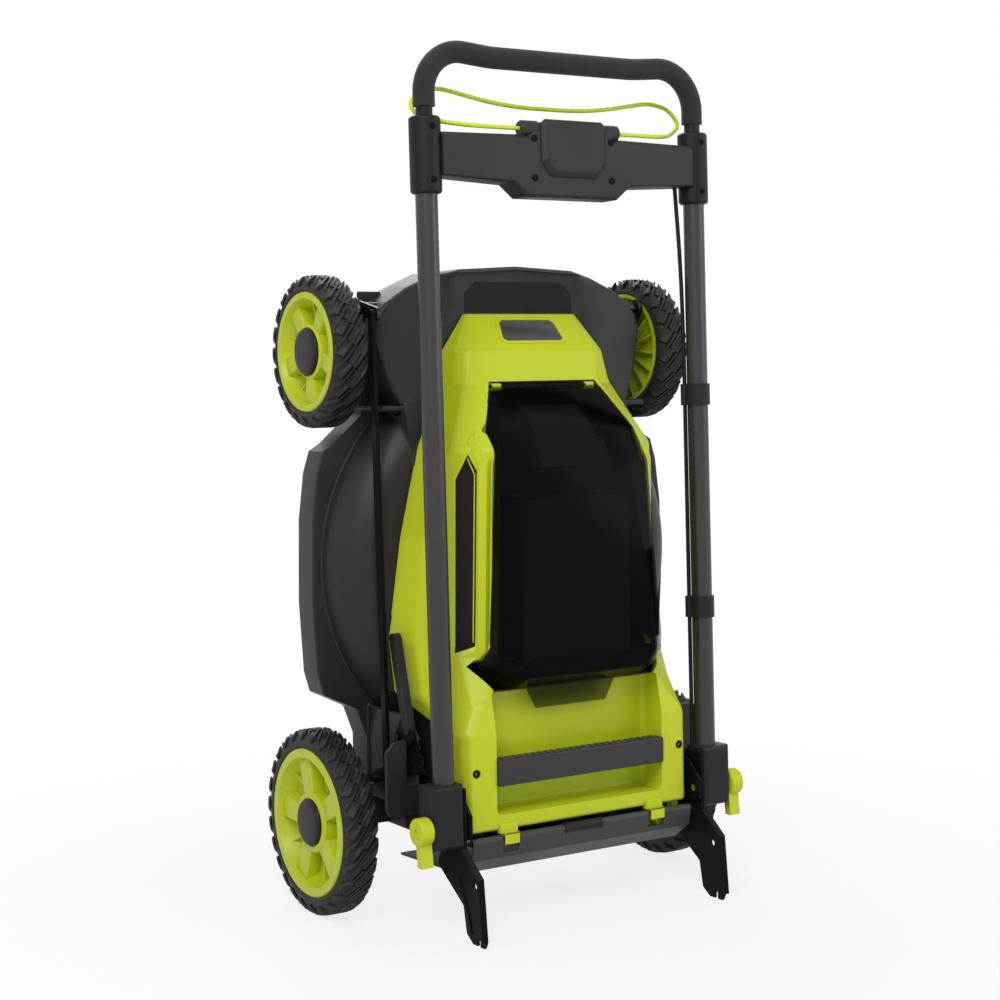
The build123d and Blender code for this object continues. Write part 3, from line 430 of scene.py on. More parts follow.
# shared effects, each a shader node group; a band is where a mask rises from none to full
grainLook = {"fineDetail": 2.0, "cloudDetail": 4.0, "cloudBand": (0.3, 0.7), "speckBand": (0.35, 0.75)}
rubAndHighlightLook = {"sharpBand": (0.52, 0.62), "breakDetail": 5.0, "breakBand": (0.35, 0.65)}
dustLook = {"upBand": (0.2, 1.0), "patchDetail": 6.0, "patchBand": (0.35, 0.75)}
lineLook = {"detail": 4.0, "band": (0.35, 0.65), "stretchX": (1, 40, 40), "stretchZ": (40, 40, 1)}


def newGroup(name, inputs, outputs):
    group = bpy.data.node_groups.new(name, "ShaderNodeTree")
    for direction, labels in (("INPUT", inputs), ("OUTPUT", outputs)):
        for label in labels:
            group.interface.new_socket(label, in_out=direction, socket_type="NodeSocketFloat")
    start = group.nodes.new("NodeGroupInput")
    end = group.nodes.new("NodeGroupOutput")
    return group, start.outputs, end.inputs


# fine texture of a moulded surface, with slow cloudy variation
def makeMouldedGrain(look):
    group, start, end = newGroup("mouldedGrain", ["Grain Scale", "Cloud Scale"], ["Height", "Cloud", "Speck"])
    coords = objectCoords(group)
    fine = noiseNode(group, coords, start["Grain Scale"], look["fineDetail"])
    cells = addNode(group, "TexVoronoi", {"Vector": coords, "Scale": start["Grain Scale"]})
    clouds = noiseNode(group, coords, start["Cloud Scale"], look["cloudDetail"])
    group.links.new(mathNode(group, "ADD", fine, cells.outputs["Distance"]), end["Height"])
    group.links.new(ramp(group, clouds, look["cloudBand"]), end["Cloud"])
    group.links.new(ramp(group, fine, look["speckBand"]), end["Speck"])
    return group


# rubbed edges, and on the smoked lid a painted highlight along them: where the surface is sharply convex,
# broken up by noise
def makeEdgeRubAndHighlight(look):
    group, start, end = newGroup("edgeRubAndHighlight", ["Break Scale"], ["Mask"])
    sharp = ramp(group, addNode(group, "NewGeometry").outputs["Pointiness"], look["sharpBand"])
    noise = noiseNode(group, objectCoords(group), start["Break Scale"], look["breakDetail"])
    group.links.new(mathNode(group, "MULTIPLY", sharp, ramp(group, noise, look["breakBand"])), end["Mask"])
    return group


# thin dust that settles on what faces up
def makeSettledDust(look):
    group, start, end = newGroup("settledDust", ["Patch Scale"], ["Mask"])
    normal = addNode(group, "NewGeometry").outputs["Normal"]
    facingUp = ramp(group, addNode(group, "SeparateXYZ", {0: normal}).outputs["Z"], look["upBand"])
    noise = noiseNode(group, objectCoords(group), start["Patch Scale"], look["patchDetail"])
    group.links.new(mathNode(group, "MULTIPLY", facingUp, ramp(group, noise, look["patchBand"])), end["Mask"])
    return group


# long fine lines of drawn or brushed metal
def makeDrawnLines(name, look, stretch):
    group, start, end = newGroup(name, ["Line Scale"], ["Height", "Streak"])
    lines = noiseNode(group, objectCoords(group, stretch), start["Line Scale"], look["detail"])
    group.links.new(lines, end["Height"])
    group.links.new(ramp(group, lines, look["band"]), end["Streak"])
    return group


groups = {
    "grain": makeMouldedGrain(grainLook),
    "rubAndHighlight": makeEdgeRubAndHighlight(rubAndHighlightLook),
    "dust": makeSettledDust(dustLook),
    "linesX": makeDrawnLines("drawnLinesX", lineLook, lineLook["stretchX"]),
    "linesZ": makeDrawnLines("drawnLinesZ", lineLook, lineLook["stretchZ"]),
}


def effect(tree, key, inputs):
    return addNode(tree, "Group", inputs, node_tree=groups[key]).outputs


def shade(color, factor):
    return tuple(min(1.0, channel * factor) for channel in color) + (1,)


shaderInputs = {"Metallic": "metallic", "Coat Weight": "coat", "Coat Roughness": "coatRough", "IOR": "ior",
                "Specular IOR Level": "specular", "Sheen Weight": "sheen", "Alpha": "alpha"}


# colours laid over the base, each with its mask and strength
def colorLayers(tree, look, grain, lines):
    color = look["color"]
    rubAndHighlight = effect(tree, "rubAndHighlight", {"Break Scale": look["breakScale"]})
    layers = [(grain["Cloud"], look["cloudy"], shade(color, look["cloudShade"]))]
    if "speckle" in look:
        layers.append((grain["Speck"], look["speckle"], shade(color, look["speckShade"])))
    if lines:
        layers.append((lines["Streak"], look["streak"], shade(color, look["streakShade"])))
    # rubbed edges lightened; on the lid this layer is a painted highlight along the sharp edges
    layers.append((rubAndHighlight["Mask"], look["rubAndHighlight"], look.get("rubColor", shade(color, look["rubAndHighlightShade"]))))
    if "dust" in look:
        dust = effect(tree, "dust", {"Patch Scale": look["patchScale"]})
        layers.append((dust["Mask"], look["dust"], look["dustColor"]))
    return layers


# clouds and rubbed edges on every finish (a painted edge highlight on the lid), drawn lines on metal, specks
# and a little dust on what is moulded
def makeFinish(name, look):
    material = bpy.data.materials.new(name)
    material.use_nodes = True
    tree = material.node_tree
    shader = tree.nodes["Principled BSDF"]
    grain = effect(tree, "grain", {"Grain Scale": look["grain"], "Cloud Scale": look["cloudScale"]})
    lines = effect(tree, look["lines"], {"Line Scale": look["lineScale"]}) if "lines" in look else None
    base = shade(look["color"], 1.0)
    for mask, strength, color in colorLayers(tree, look, grain, lines):
        share = mathNode(tree, "MULTIPLY", mask, strength)
        mix = addNode(tree, "Mix", {"Factor": share, "A": base, "B": color}, data_type="RGBA")
        base = mix.outputs["Result"]
    tree.links.new(base, shader.inputs["Base Color"])
    low, high = [min(1.0, look["rough"] * share) for share in look["roughShares"]]
    roughMask = lines["Streak"] if lines else grain["Cloud"]
    rough = addNode(tree, "MapRange", {"Value": roughMask, "To Min": low, "To Max": high})
    tree.links.new(rough.outputs["Result"], shader.inputs["Roughness"])
    if "bump" in look:
        height = lines["Height"] if lines else grain["Height"]
        inputs = {"Height": height, "Strength": look["bump"], "Distance": look["bumpDepth"]}
        tree.links.new(addNode(tree, "Bump", inputs).outputs["Normal"], shader.inputs["Normal"])
    for label, key in shaderInputs.items():
        if key in look:
            shader.inputs[label].default_value = look[key]
    return material


# what the finishes of a kind share, then their own values; the lid is of smoked see-through plastic
mouldedLook = {"cloudScale": 14, "breakScale": 60, "patchScale": 9, "cloudy": 0.5, "cloudShade": 0.86,
               "speckle": 0.35, "speckShade": 1.12, "rubAndHighlight": 0.35, "rubAndHighlightShade": 1.7, "dust": 0.05,
               "dustColor": (0.5, 0.48, 0.44, 1), "roughShares": (0.9, 1.15), "bumpDepth": 0.0002}
limeColor = (0.56, 0.65, 0.014)
limeWear = {"rubAndHighlight": 0.25, "rubColor": (0.70, 0.76, 0.14, 1), "cloudy": 0.12, "speckle": 0.08, "dust": 0.01,
            "specular": 0.3}
plasticLooks = {
    "deck_black": {"color": (0.021, 0.021, 0.022), "rough": 0.42, "grain": 1100, "bump": 0.22,
                   "specular": 0.25},
    "lime_plastic": {"color": limeColor, "rough": 0.36, "grain": 700, "bump": 0.06, **limeWear},
    "lime_rim": {"color": shade(limeColor, 0.9)[:3], "rough": 0.34, "grain": 700, "bump": 0.05, **limeWear},
    "lime_lever": {"color": limeColor, "rough": 0.4, "grain": 700, "bump": 0.08, **limeWear},
    "lime_wire": {"color": (0.68, 0.80, 0.02), "rough": 0.3, "grain": 900, "bump": 0.02, **limeWear},
    "grille_black": {"color": (0.011, 0.011, 0.011), "rough": 0.5, "grain": 1200, "bump": 0.2,
                     "specular": 0.15},
    "badge_grey": {"color": (0.030, 0.031, 0.032), "rough": 0.35, "grain": 1600, "bump": 0.12, "coat": 0.15,
                   "coatRough": 0.1},
    "grab_grey": {"color": (0.036, 0.036, 0.038), "rough": 0.4, "grain": 1200, "bump": 0.2, "specular": 0.25},
    "battery_black": {"color": (0.009, 0.009, 0.009), "rough": 0.5, "grain": 1200, "bump": 0.06,
                      "specular": 0.3},
    "flap_grey": {"color": (0.050, 0.050, 0.051), "rough": 0.5, "grain": 1300, "bump": 0.3, "specular": 0.3},
    "leg_black": {"color": (0.006, 0.006, 0.006), "rough": 0.38, "grain": 500, "bump": 0.06, "specular": 0.05,
                  "rubAndHighlight": 0.12},
    "knuckle_black": {"color": (0.014, 0.014, 0.0145), "rough": 0.45, "grain": 1200, "bump": 0.22,
                      "specular": 0.2},
    "tube_grey": {"color": (0.022, 0.022, 0.0225), "rough": 0.34, "grain": 2200, "bump": 0.06,
                  "specular": 0.45, "coat": 0.1, "coatRough": 0.1, "rubAndHighlight": 0.2},
    "housing_grey": {"color": (0.024, 0.024, 0.025), "rough": 0.48, "grain": 1300, "bump": 0.25,
                     "specular": 0.25},
    "grip_foam": {"color": (0.022, 0.022, 0.0225), "rough": 0.72, "grain": 2400, "bump": 0.45, "sheen": 0.15,
                  "speckle": 0.5, "specular": 0.2},
    "cable_black": {"color": (0.009, 0.009, 0.009), "rough": 0.45, "grain": 1600, "bump": 0.2,
                    "specular": 0.2},
    "tyre_black": {"color": (0.017, 0.017, 0.0165), "rough": 0.55, "grain": 1500, "bump": 0.35, "dust": 0.10,
                   "specular": 0.25},
}
metalLook = {"metallic": 1.0, "lines": "linesX", "grain": 600, "cloudScale": 25, "breakScale": 90,
             "cloudy": 0.6, "cloudShade": 0.78, "streak": 0.35, "streakShade": 1.15, "rubAndHighlight": 0.5,
             "rubAndHighlightShade": 1.4, "roughShares": (0.8, 1.25), "bump": 0.12, "bumpDepth": 0.0002}
metalLooks = {
    "screw_steel": {"color": (0.014, 0.014, 0.0145), "rough": 0.42, "lineScale": 60},
    "pin_steel": {"color": (0.62, 0.61, 0.58), "rough": 0.3, "lineScale": 60},
    "motor_metal": {"color": (0.32, 0.32, 0.33), "rough": 0.4, "lineScale": 30, "lines": "linesZ"},
    "blade_steel": {"color": (0.42, 0.42, 0.43), "rough": 0.32, "lineScale": 25},
    "holder_alloy": {"color": (0.6, 0.6, 0.6), "rough": 0.36, "lineScale": 40},
    "plated_steel": {"color": (0.055, 0.055, 0.057), "rough": 0.32, "lineScale": 50},
}
# on the lid the rubbed-edge layer lightens sharp edges sixfold: a painted highlight along the lid's edges
smokeLook = {"color": (0.002, 0.002, 0.0023), "rough": 0.06, "roughShares": (1, 1.5), "alpha": 0.5,
             "specular": 0.06, "ior": 1.5, "grain": 300, "cloudScale": 6, "breakScale": 40, "cloudy": 0.5,
             "cloudShade": 1.5, "rubAndHighlight": 0.3, "rubAndHighlightShade": 6.0}

materials = {}
for slotName, look in plasticLooks.items():
    materials[slotName] = makeFinish(slotName, {**mouldedLook, **look})
for slotName, look in metalLooks.items():
    materials[slotName] = makeFinish(slotName, {**metalLook, **look})
materials["smoke_lid"] = makeFinish("smoke_lid", smokeLook)
print("finishes made:", len(materials))

otherFinish = {         # blackened pieces among brighter ones of the same slot; on the height quadrant the black also paints the shade under the deck
    "upper_handlebar": "cable_black",
    "handle_collar_left": "cable_black",
    "handle_collar_right": "cable_black",
    "flap_hinge_rod": "screw_steel",
    "lid_hinge_pin": "screw_steel",
    # the height quadrant's darkest black also stands in for the deck's shade falling on it
    "height_quadrant": "leg_black",
    "pivot_bracket_left": "leg_black",
    "pivot_bracket_right": "leg_black",
}
for nodeName, node in nodes.items():
    node.data.materials.clear()
    node.data.materials.append(materials[otherFinish.get(nodeName, nodeSlot[nodeName])])
print("CAD nodes dressed")


# wheels: dished rim with spoke blocks and back ribs, tyre with slanting tread, domed hub cap (in metres)
wheelSizes = {
    "front": {"place": (0.085, 0.670), "face": 0.2535, "width": 0.041, "tyre": 0.0905, "rim": 0.071,
              "lip": 0.0085, "bars": 22, "hub": 0.033, "spokeWidth": 0.0205, "turn": 36},
    "rear": {"place": (0.0645, 0.111), "face": 0.272, "width": 0.040, "tyre": 0.111, "rim": 0.0885,
             "lip": 0.0115, "bars": 27, "hub": 0.037, "spokeWidth": 0.027, "turn": -12},
}
# steps of the rim: depth past its face, dish or back, and radius past one of its circles
rimLook = {
    "dish": 0.022,
    "cap": 0.028,
    "bore": 0.0062,
    "tube": 0.018,
    "profile": [
        ("face", 0.0015, "rim", 0), ("face", 0, "rim", -0.0014), ("face", 0, "lip", 0.001),
        ("face", 0.0012, "lip", 0), ("face", 0.007, "lip", -0.0016), ("face", 0.0085, "lip", -0.0026),
        ("dish", -0.002, "lip", -0.008), ("dish", 0, "lip", -0.010), ("dish", 0, "hub", 0.001),
        ("face", 0.007, "hub", -0.0004), ("face", 0.0056, "hub", -0.0016), ("face", 0.0048, "cap", 0.0012),
        ("face", 0.0062, "cap", 0.0005), ("face", 0.0066, "bore", 0), ("back", 0, "bore", 0),
        ("back", 0, "tube", 0), ("dish", 0.003, "tube", 0), ("dish", 0.003, "lip", -0.007),
        ("face", 0.012, "rim", -0.006), ("back", -0.001, "rim", -0.005), ("back", 0, "rim", -0.004),
        ("back", 0, "rim", 0), ("face", 0.0015, "rim", 0),
    ],
    "spoke": [      # inner and outer end of the low face, then of the high face
        ("dish", 0.001, "hub", -0.003), ("dish", -0.003, "lip", -0.0012),
        ("face", 0.0068, "hub", -0.003), ("face", 0.0062, "lip", -0.0012),
    ],
    "spokes": 5,
    "spokeShares": (0.42, 0.55),
    "spokeDraft": 0.002,
    "spokeEdge": 0.0016,
    "rib": [
        ("dish", 0.003, "tube", -0.001), ("face", 0.010, "rim", -0.004),
        ("back", -0.004, "tube", -0.001), ("back", -0.008, "rim", -0.004),
    ],
    "ribs": 15,
    "ribHalf": 0.0011,
}
capProfile = [(0.006, 0.0277), (0.0028, 0.028), (0.0012, 0.0268), (0.0004, 0.023), (0, 0.014), (0, 0.00336)]
treadLook = {
    "height": 0.0046,
    "barWidth": 0.0125,
    "slant": 52,
    "lean": -1,             # which way the bars slope
    "shoulder": 0.009,
    "roll": 0.98,           # how far a bar may go down the shoulder
    "past": 0.004,
    "cuts": 5,
    "groove": 0.0026,
    "grooveShares": (0.4, 0.2, 0.4),      # of the bar's length, width and height
    "seat": 0.8,            # share of the bars' height above the tyre's body
    "half": [               # depth of the tyre's body from its side, and radius past the rim or its top
        (0.0022, "rim", 0.0002), (0.0008, "rim", 0.0014), (0, "rim", 0.004), (0.0004, "rim", 0.0052),
        (0.0014, "top", -0.0085), (0.0032, "top", -0.0045), (0.0066, "top", -0.0014), (0.0105, "top", 0),
    ],
}


# a block from eight corner places, given as low face then high face, each anticlockwise
def block(name, corners):
    clearSelection()
    bpy.ops.mesh.primitive_cube_add(size=2)
    piece = bpy.context.object
    order = [(-1, -1), (1, -1), (1, 1), (-1, 1)]
    for vertex in piece.data.vertices:
        sign = (round(vertex.co.x), round(vertex.co.y))
        vertex.co = corners[order.index(sign) + (4 if vertex.co.z > 0 else 0)]
    settle(piece, name)
    editAll(piece, faceOutward)
    return piece


def ringCopies(piece, place, count, name):
    twins = [piece]
    for index in range(1, count):
        twins.append(copied(piece, name, aboutX(place, 2 * pi * index / count)))
    return twins


def rimPoints(size, steps):
    depths = {"face": 0, "dish": rimLook["dish"], "back": size["width"]}
    circles = {"rim": size["rim"], "lip": size["rim"] - size["lip"], "hub": size["hub"]}
    circles.update({circle: rimLook[circle] for circle in ("cap", "bore", "tube")})
    return [(depths[start] + depth - size["face"], circles[circle] + out)
            for start, depth, circle, out in steps]


def radialBlock(name, size, ends, halves):
    y, z = size["place"]
    corners = []
    for index, ((x, radius), half) in enumerate(zip(rimPoints(size, ends), halves)):
        turn = 1 if index % 2 else -1
        corners += [(x, y + turn * half, z + radius), (x, y - turn * half, z + radius)]
    return block(name, corners)


def makeRim(name, size):
    place, look = size["place"], rimLook
    rim = turned(name, place, rimPoints(size, look["profile"]), segments=80, closed=True)
    inner, outer = [size["spokeWidth"] * share for share in look["spokeShares"]]
    draft = look["spokeDraft"]
    spoke = radialBlock(name + "_spoke", size, look["spoke"], (inner + draft, outer + draft, inner, outer))
    roundEdges(spoke, look["spokeEdge"], 3)
    spoke.data.transform(aboutX(place, radians(size["turn"])))
    rib = radialBlock(name + "_rib", size, look["rib"], [look["ribHalf"]] * 4)
    pieces = [rim] + ringCopies(spoke, place, look["spokes"], name + "_spoke")
    pieces += ringCopies(rib, place, look["ribs"], name + "_rib")
    return smooth(joined(pieces, name), angle=32)


def makeHubCap(name, size):
    profile = [(depth - size["face"], radius) for depth, radius in capProfile]
    return smooth(turned(name, size["place"], profile, segments=64), angle=50)


# a tread bar is modelled flat, along X and Y with its height in Z, then laid on the tyre
def layOnTyre(bar, size):
    shoulder = treadLook["shoulder"]
    flat = size["width"] / 2 - shoulder
    middle = -size["face"] + size["width"] / 2
    y, z = size["place"]
    for vertex in bar.data.vertices:
        over = min(max(abs(vertex.co.x) - flat, 0.0), shoulder * treadLook["roll"])
        drop = shoulder - sqrt(shoulder ** 2 - over ** 2)
        angle = vertex.co.y / size["tyre"]
        radius = size["tyre"] - treadLook["height"] + vertex.co.z - drop
        vertex.co = (middle + vertex.co.x, y + radius * sin(angle), z + radius * cos(angle))


def makeBar(name, size, hand):
    look, limit = treadLook, size["width"] / 2
    slant, width, height = radians(look["slant"]), look["barWidth"], look["height"]
    length = (limit + look["past"]) / cos(slant)
    clearSelection()
    bpy.ops.mesh.primitive_cube_add(size=1)
    bar = bpy.context.object
    bar.scale = (length, width, height)
    settle(bar, name)
    editAll(bar, lambda: bpy.ops.mesh.subdivide(number_cuts=look["cuts"]))
    alongShare, acrossShare, upShare = look["grooveShares"]
    for vertex in bar.data.vertices:            # a groove along the middle of the bar's top
        x, y, z = vertex.co
        if z > upShare * height and abs(y) < width * acrossShare and abs(x) < length * alongShare:
            vertex.co.z -= look["groove"]
    shift = (hand * (limit - look["past"]) / 2, 0, height / 2)
    editAll(bar, lambda: bpy.ops.transform.rotate(value=look["lean"] * slant, orient_axis="Z",
                                                  center_override=(0, 0, 0)),
            lambda: bpy.ops.transform.translate(value=shift))
    for vertex in bar.data.vertices:
        vertex.co.x = min(max(vertex.co.x, -limit), limit)
    layOnTyre(bar, size)
    return bar


def makeTyre(name, size):
    place, face, width, look = size["place"], -size["face"], size["width"], treadLook
    circles = {"rim": size["rim"], "top": size["tyre"] - look["height"] * look["seat"]}
    half = [(depth, circles[circle] + out) for depth, circle, out in look["half"]]
    profile = [(face + depth, radius) for depth, radius in half]
    profile += [(face + width - depth, radius) for depth, radius in reversed(half)]
    tyre = turned(name, place, profile + profile[:1], segments=96, closed=True)
    outerBar = makeBar(name + "_outer", size, -1)
    innerBar = makeBar(name + "_inner", size, 1)
    innerBar.data.transform(aboutX(place, pi / size["bars"]))
    pieces = [tyre] + ringCopies(outerBar, place, size["bars"], name + "_outer")
    pieces += ringCopies(innerBar, place, size["bars"], name + "_inner")
    return smooth(joined(pieces, name), angle=40)


def addWheel(end, size):
    middle = Matrix.Translation((0, size["place"][0], 0))
    halfTurn = middle @ Matrix.Rotation(pi, 4, "Z") @ middle.inverted()
    made = {
        "rim": (makeRim("rim_%s_left_dished" % end, size), "lime_rim"),
        "tyre": (makeTyre("tyre_%s_left_treaded" % end, size), "tyre_black"),
        "hub_cap": (makeHubCap("hub_cap_%s_left_domed" % end, size), nodeSlot["hub_cap_%s_left" % end]),
    }
    for kind, (left, slotName) in made.items():
        right = copied(left, left.name.replace("left", "right"), halfTurn)
        dress(left, slotName, "wheel_%s_left" % end, "%s_%s_left" % (kind, end))
        dress(right, slotName, "wheel_%s_right" % end, "%s_%s_right" % (kind, end))


for end, size in wheelSizes.items():
    addWheel(end, size)
print("wheels made")

# motor cover: a lofted body with soft edges, then its openings, hooks and lid lugs (from here in millimetres)
coverLook = {
    "sections": [       # height, then half width and depth at foot, ridge, shoulder and crown
        (116, [(158, -74.2), (160, -92), (160, -108), (154, -118.3)]),
        (229, [(160, -74.2), (162, -92), (158, -108), (152, -118.3)]),
        (266, [(182, 4.8), (176, -48), (142, -104), (124, -110)]),
        (331, [(190, 4.8), (174, -30), (143, -66), (109, -98.5)]),
        (450, [(172, 4.8), (163, -34), (143, -66), (109, -98.5)]),
        (555, [(147, 4.8), (145, -38), (143, -66), (109, -98.5)]),
        (631, [(112, 7.6), (110, -20), (104, -36), (80, -44)]),
        (668, [(111, 7.6), (106, -16), (98, -28), (87, -34.5)]),
        (713, [(80, 7.6), (79, 2.4), (76, 0.4), (70, -1)]),
    ],
    "edge": 4.2,
    "noseShare": 0.35,      # the edges of the last stretch are this much sharper
    "bay": [(76, 632.5), (105.5, 575), (104.5, 540), (112.5, 326), (138, 305), (113.5, 275.5)],
    "bayDepth": (20, -150),
    "recess": [(119, 278.5), (119, 134)],
    "recessDepth": (-82, -150),
    "recessCorner": 7,
    "screws": [(-146, 185.7), (146, 185.7)],
    "screwHole": {"radius": 5.6, "depth": 8, "middle": -120.3},
    "vent": [(1.5, 319), (4.5, 521), (19.5, 550), (30, 531), (25.5, 327)],    # across the pod's slope, and up
    "ventDepth": (-5, 8),
    "podOuter": (143, -66),
    "podInner": (109, -98.5),
    "podTop": 552,          # above this the slope falls away
    "podFall": 0.71,
    "bead": [(1, 304), (34, 310), (42, 321), (46.5, 544), (28, 580), (17, 565),
             (32, 536), (27.5, 330), (25, 323), (1, 316)],
    "beadTop": [(1, 306.5), (31, 313), (38.5, 322.5), (42.5, 543), (27, 575), (19, 564),
                (33, 537), (28.6, 329), (26, 321), (1, 313)],
    "beadDepth": (-2, 0.4, 6.0),
    "beadEdge": 1.6,
    "line": [(22.4, 332), (23.6, 332), (27.8, 527), (19.4, 546), (18.8, 544.4), (26.6, 526.6)],
    "lineDepth": (-2.5, 0.2),
    "hookX": 105,
    "hookBlocks": [         # half width, then depth and height of the hook's tab, bridge and front plate
        (12, (-121.8, -114), (112.4, 124)),
        (10, (-129.2, -114), (112.4, 115)),
        (10, (-129.2, -127.2), (101.5, 115)),
    ],
    "hookEdge": 0.8,
    "lugX": (59, 75),
    "lug": ((-46.5, -36), (621, 630.3)),
    "lugEdge": 2.5,
}


# points on the slope of a pod: across it from the outer edge, up, and out of it
def podPoint(side, across, z, out):
    (outerX, outerY), (innerX, innerY) = coverLook["podOuter"], coverLook["podInner"]
    length = hypot(innerX - outerX, innerY - outerY)
    stepX, stepY = (innerX - outerX) / length, (innerY - outerY) / length
    out -= coverLook["podFall"] * max(0, z - coverLook["podTop"])
    x = outerX + stepX * across - stepY * out
    y = outerY + stepY * across + stepX * out
    return (side * x * mm, y * mm, z * mm)


def podPrism(name, side, outlines, depths, edge=0):
    rings = [[podPoint(side, across, z, out) for across, z in outline]
             for outline, out in zip(outlines, depths)]
    return lofted(name, rings, edge=edge)


def coverEdges(cover, look):
    lastZ = look["sections"][-2][0] * mm
    feet = {(round(half[0][0], 1), round(z, 1)) for z, half in look["sections"]}
    weight = cover.data.attributes.new("bevel_weight_edge", "FLOAT", "EDGE")
    for edge in cover.data.edges:
        ends = [cover.data.vertices[index].co for index in edge.vertices]
        atFoot = [(round(abs(end.x) / mm, 1), round(end.z / mm, 1)) in feet for end in ends]
        share = look["noseShare"] if min(end.z for end in ends) > lastZ - mm else 1.0
        weight.data[edge.index].value = 0.0 if all(atFoot) else share
    bevel = cover.modifiers.new("softEdges", "BEVEL")
    bevel.width = look["edge"] * mm
    bevel.segments = 3
    bevel.limit_method = "WEIGHT"
    bevel.use_clamp_overlap = False
    applyModifiers(cover)


def makeCover(name, look):
    cover = lofted(name, [levelRing(half, z) for z, half in look["sections"]])
    coverEdges(cover, look)
    cutters = [prism("recess", bothSides(look["recess"]), *look["recessDepth"], look["recessCorner"]),
               prism("bay", bothSides(look["bay"]), *look["bayDepth"])]
    hole = look["screwHole"]
    for side, (x, z) in zip((-1, 1), look["screws"]):
        cutters.append(podPrism("window", side, [look["vent"]] * 2, look["ventDepth"]))
        clearSelection()
        bpy.ops.mesh.primitive_cylinder_add(vertices=32, radius=hole["radius"] * mm, depth=hole["depth"] * mm,
                                            rotation=(pi / 2, 0, 0),
                                            location=(x * mm, hole["middle"] * mm, z * mm))
        cutters.append(bpy.context.object)
    cutAway(cover, cutters)
    pieces = [cover]
    for side in (-1, 1):
        beadRings = [look["bead"], look["bead"], look["beadTop"]]
        pieces.append(podPrism("bead", side, beadRings, look["beadDepth"], look["beadEdge"]))
        pieces.append(podPrism("line", side, [look["line"]] * 2, look["lineDepth"]))
        middle = side * look["hookX"]
        for half, (front, back), (low, high) in look["hookBlocks"]:
            corners = (middle - half, front, low), (middle + half, back, high)
            pieces.append(roundedBox("hook", *corners, look["hookEdge"]))
        near, far = sorted(side * x for x in look["lugX"])
        (front, back), (low, high) = look["lug"]
        pieces.append(roundedBox("lug", (near, front, low), (far, back, high), look["lugEdge"]))
    return smooth(joined(pieces, name), weighted=True)


dress(makeCover("motor_cover_shell", coverLook), "lime_plastic", "deck", "motor_cover")
print("cover made")

# vent inserts: a fine slanted mesh in front of a dark panel, on each pod's slope
ventLook = {"cell": 2.6, "spread": 1.6, "wire": 0.9, "mesh": -1.3, "panel": (-4.2, -2.6)}


def makeVent(name, side, look):
    outline = coverLook["vent"]
    heights = [z for across, z in outline]
    middleX, middleZ = [sum(values) / len(outline) for values in zip(*outline)]
    clearSelection()
    cells = int(look["spread"] * (max(heights) - min(heights)) / look["cell"])
    bpy.ops.mesh.primitive_grid_add(x_subdivisions=cells, y_subdivisions=cells, rotation=(0, 0, pi / 4),
                                    size=cells * look["cell"] * mm,
                                    location=(middleX * mm, middleZ * mm, look["mesh"] * mm))
    mesh = bpy.context.object
    settle(mesh, name)
    setMode("EDIT")
    for (startX, startZ), (endX, endZ) in zip(outline, outline[1:] + outline[:1]):
        bpy.ops.mesh.select_all(action="SELECT")
        bpy.ops.mesh.bisect(plane_co=(startX * mm, startZ * mm, 0), clear_outer=True,
                            plane_no=(startZ - endZ, endX - startX, 0))
    setMode("OBJECT")
    wires = mesh.modifiers.new("wires", "WIREFRAME")
    wires.thickness = look["wire"] * mm
    applyModifiers(mesh)
    for vertex in mesh.data.vertices:
        vertex.co = podPoint(side, *[value / mm for value in vertex.co])
    panel = podPrism(name + "_panel", side, [outline] * 2, look["panel"])
    return joined([mesh, panel], name)


for side, hand in ((-1, "left"), (1, "right")):
    vent = makeVent("vent_grille_%s_mesh" % hand, side, ventLook)
    dress(vent, "grille_black", "deck", "vent_grille_" + hand)
print("vents made")

# battery lid: half sections up its height, each with foot, shoulder, edge and crown; then a hinge barrel
lidLook = {
    "sections": [
        (277, [(111, -99), (101, -105), (88, -110), (0, -111)]),
        (291, [(124, -100), (108, -117), (86, -136), (0, -139)]),
        (307, [(133, -101), (117, -121), (97, -140), (0, -143)]),
        (326, [(113.5, -99), (118, -121), (96, -139), (0, -141.5)]),
        (430, [(109.5, -98.5), (112, -116), (84, -132), (0, -134.5)]),
        (536, [(107, -97.5), (106, -111), (68, -124), (0, -126)]),
        (576, [(110, -75), (97, -94), (64, -99), (0, -100.5)]),
        (626.3, [(78, -50.5), (74, -51.8), (60, -52.6), (0, -53)]),
    ],
    "back": 0.4,            # faces that look back more than this are left out
    "edge": 1.6,
    "sharp": 7,             # edges that turn more than this, in degrees, are rounded
    "wall": 2.4,
    "tab": [(72, 290), (50, 249)],
    "tabDepth": (-95, -98),
    "tabEdge": 1.0,
    "barrel": {"place": (-0.044, 0.627), "half": 0.058, "radius": 0.005, "edge": 0.001},      # in metres
}


def makeLid(name, look):
    lid = lofted(name, [levelRing(half, z) for z, half in look["sections"]])
    removeFaces(lid, lambda polygon: polygon.normal.y > look["back"])
    roundEdges(lid, look["edge"] * mm, sharp=look["sharp"], clamp=False)
    addWall(lid, look["wall"])
    tab = prism(name + "_tab", bothSides(look["tab"]), *look["tabDepth"], look["tabEdge"])
    half, radius, edge = [look["barrel"][key] for key in ("half", "radius", "edge")]
    profile = [(-half, radius - edge), (edge - half, radius), (half - edge, radius), (half, radius - edge)]
    barrel = turned(name + "_barrel", look["barrel"]["place"], profile, segments=32)
    return smooth(joined([lid, tab, barrel], name), weighted=True)


dress(makeLid("battery_lid_visor", lidLook), "smoke_lid", "lid", "battery_lid")

# black band inside the lid's side walls, up to where the hood starts
bandLook = {"inset": (3.4, 3.0), "top": 540, "foot": 3.5, "wall": 0.8, "open": 0.75}


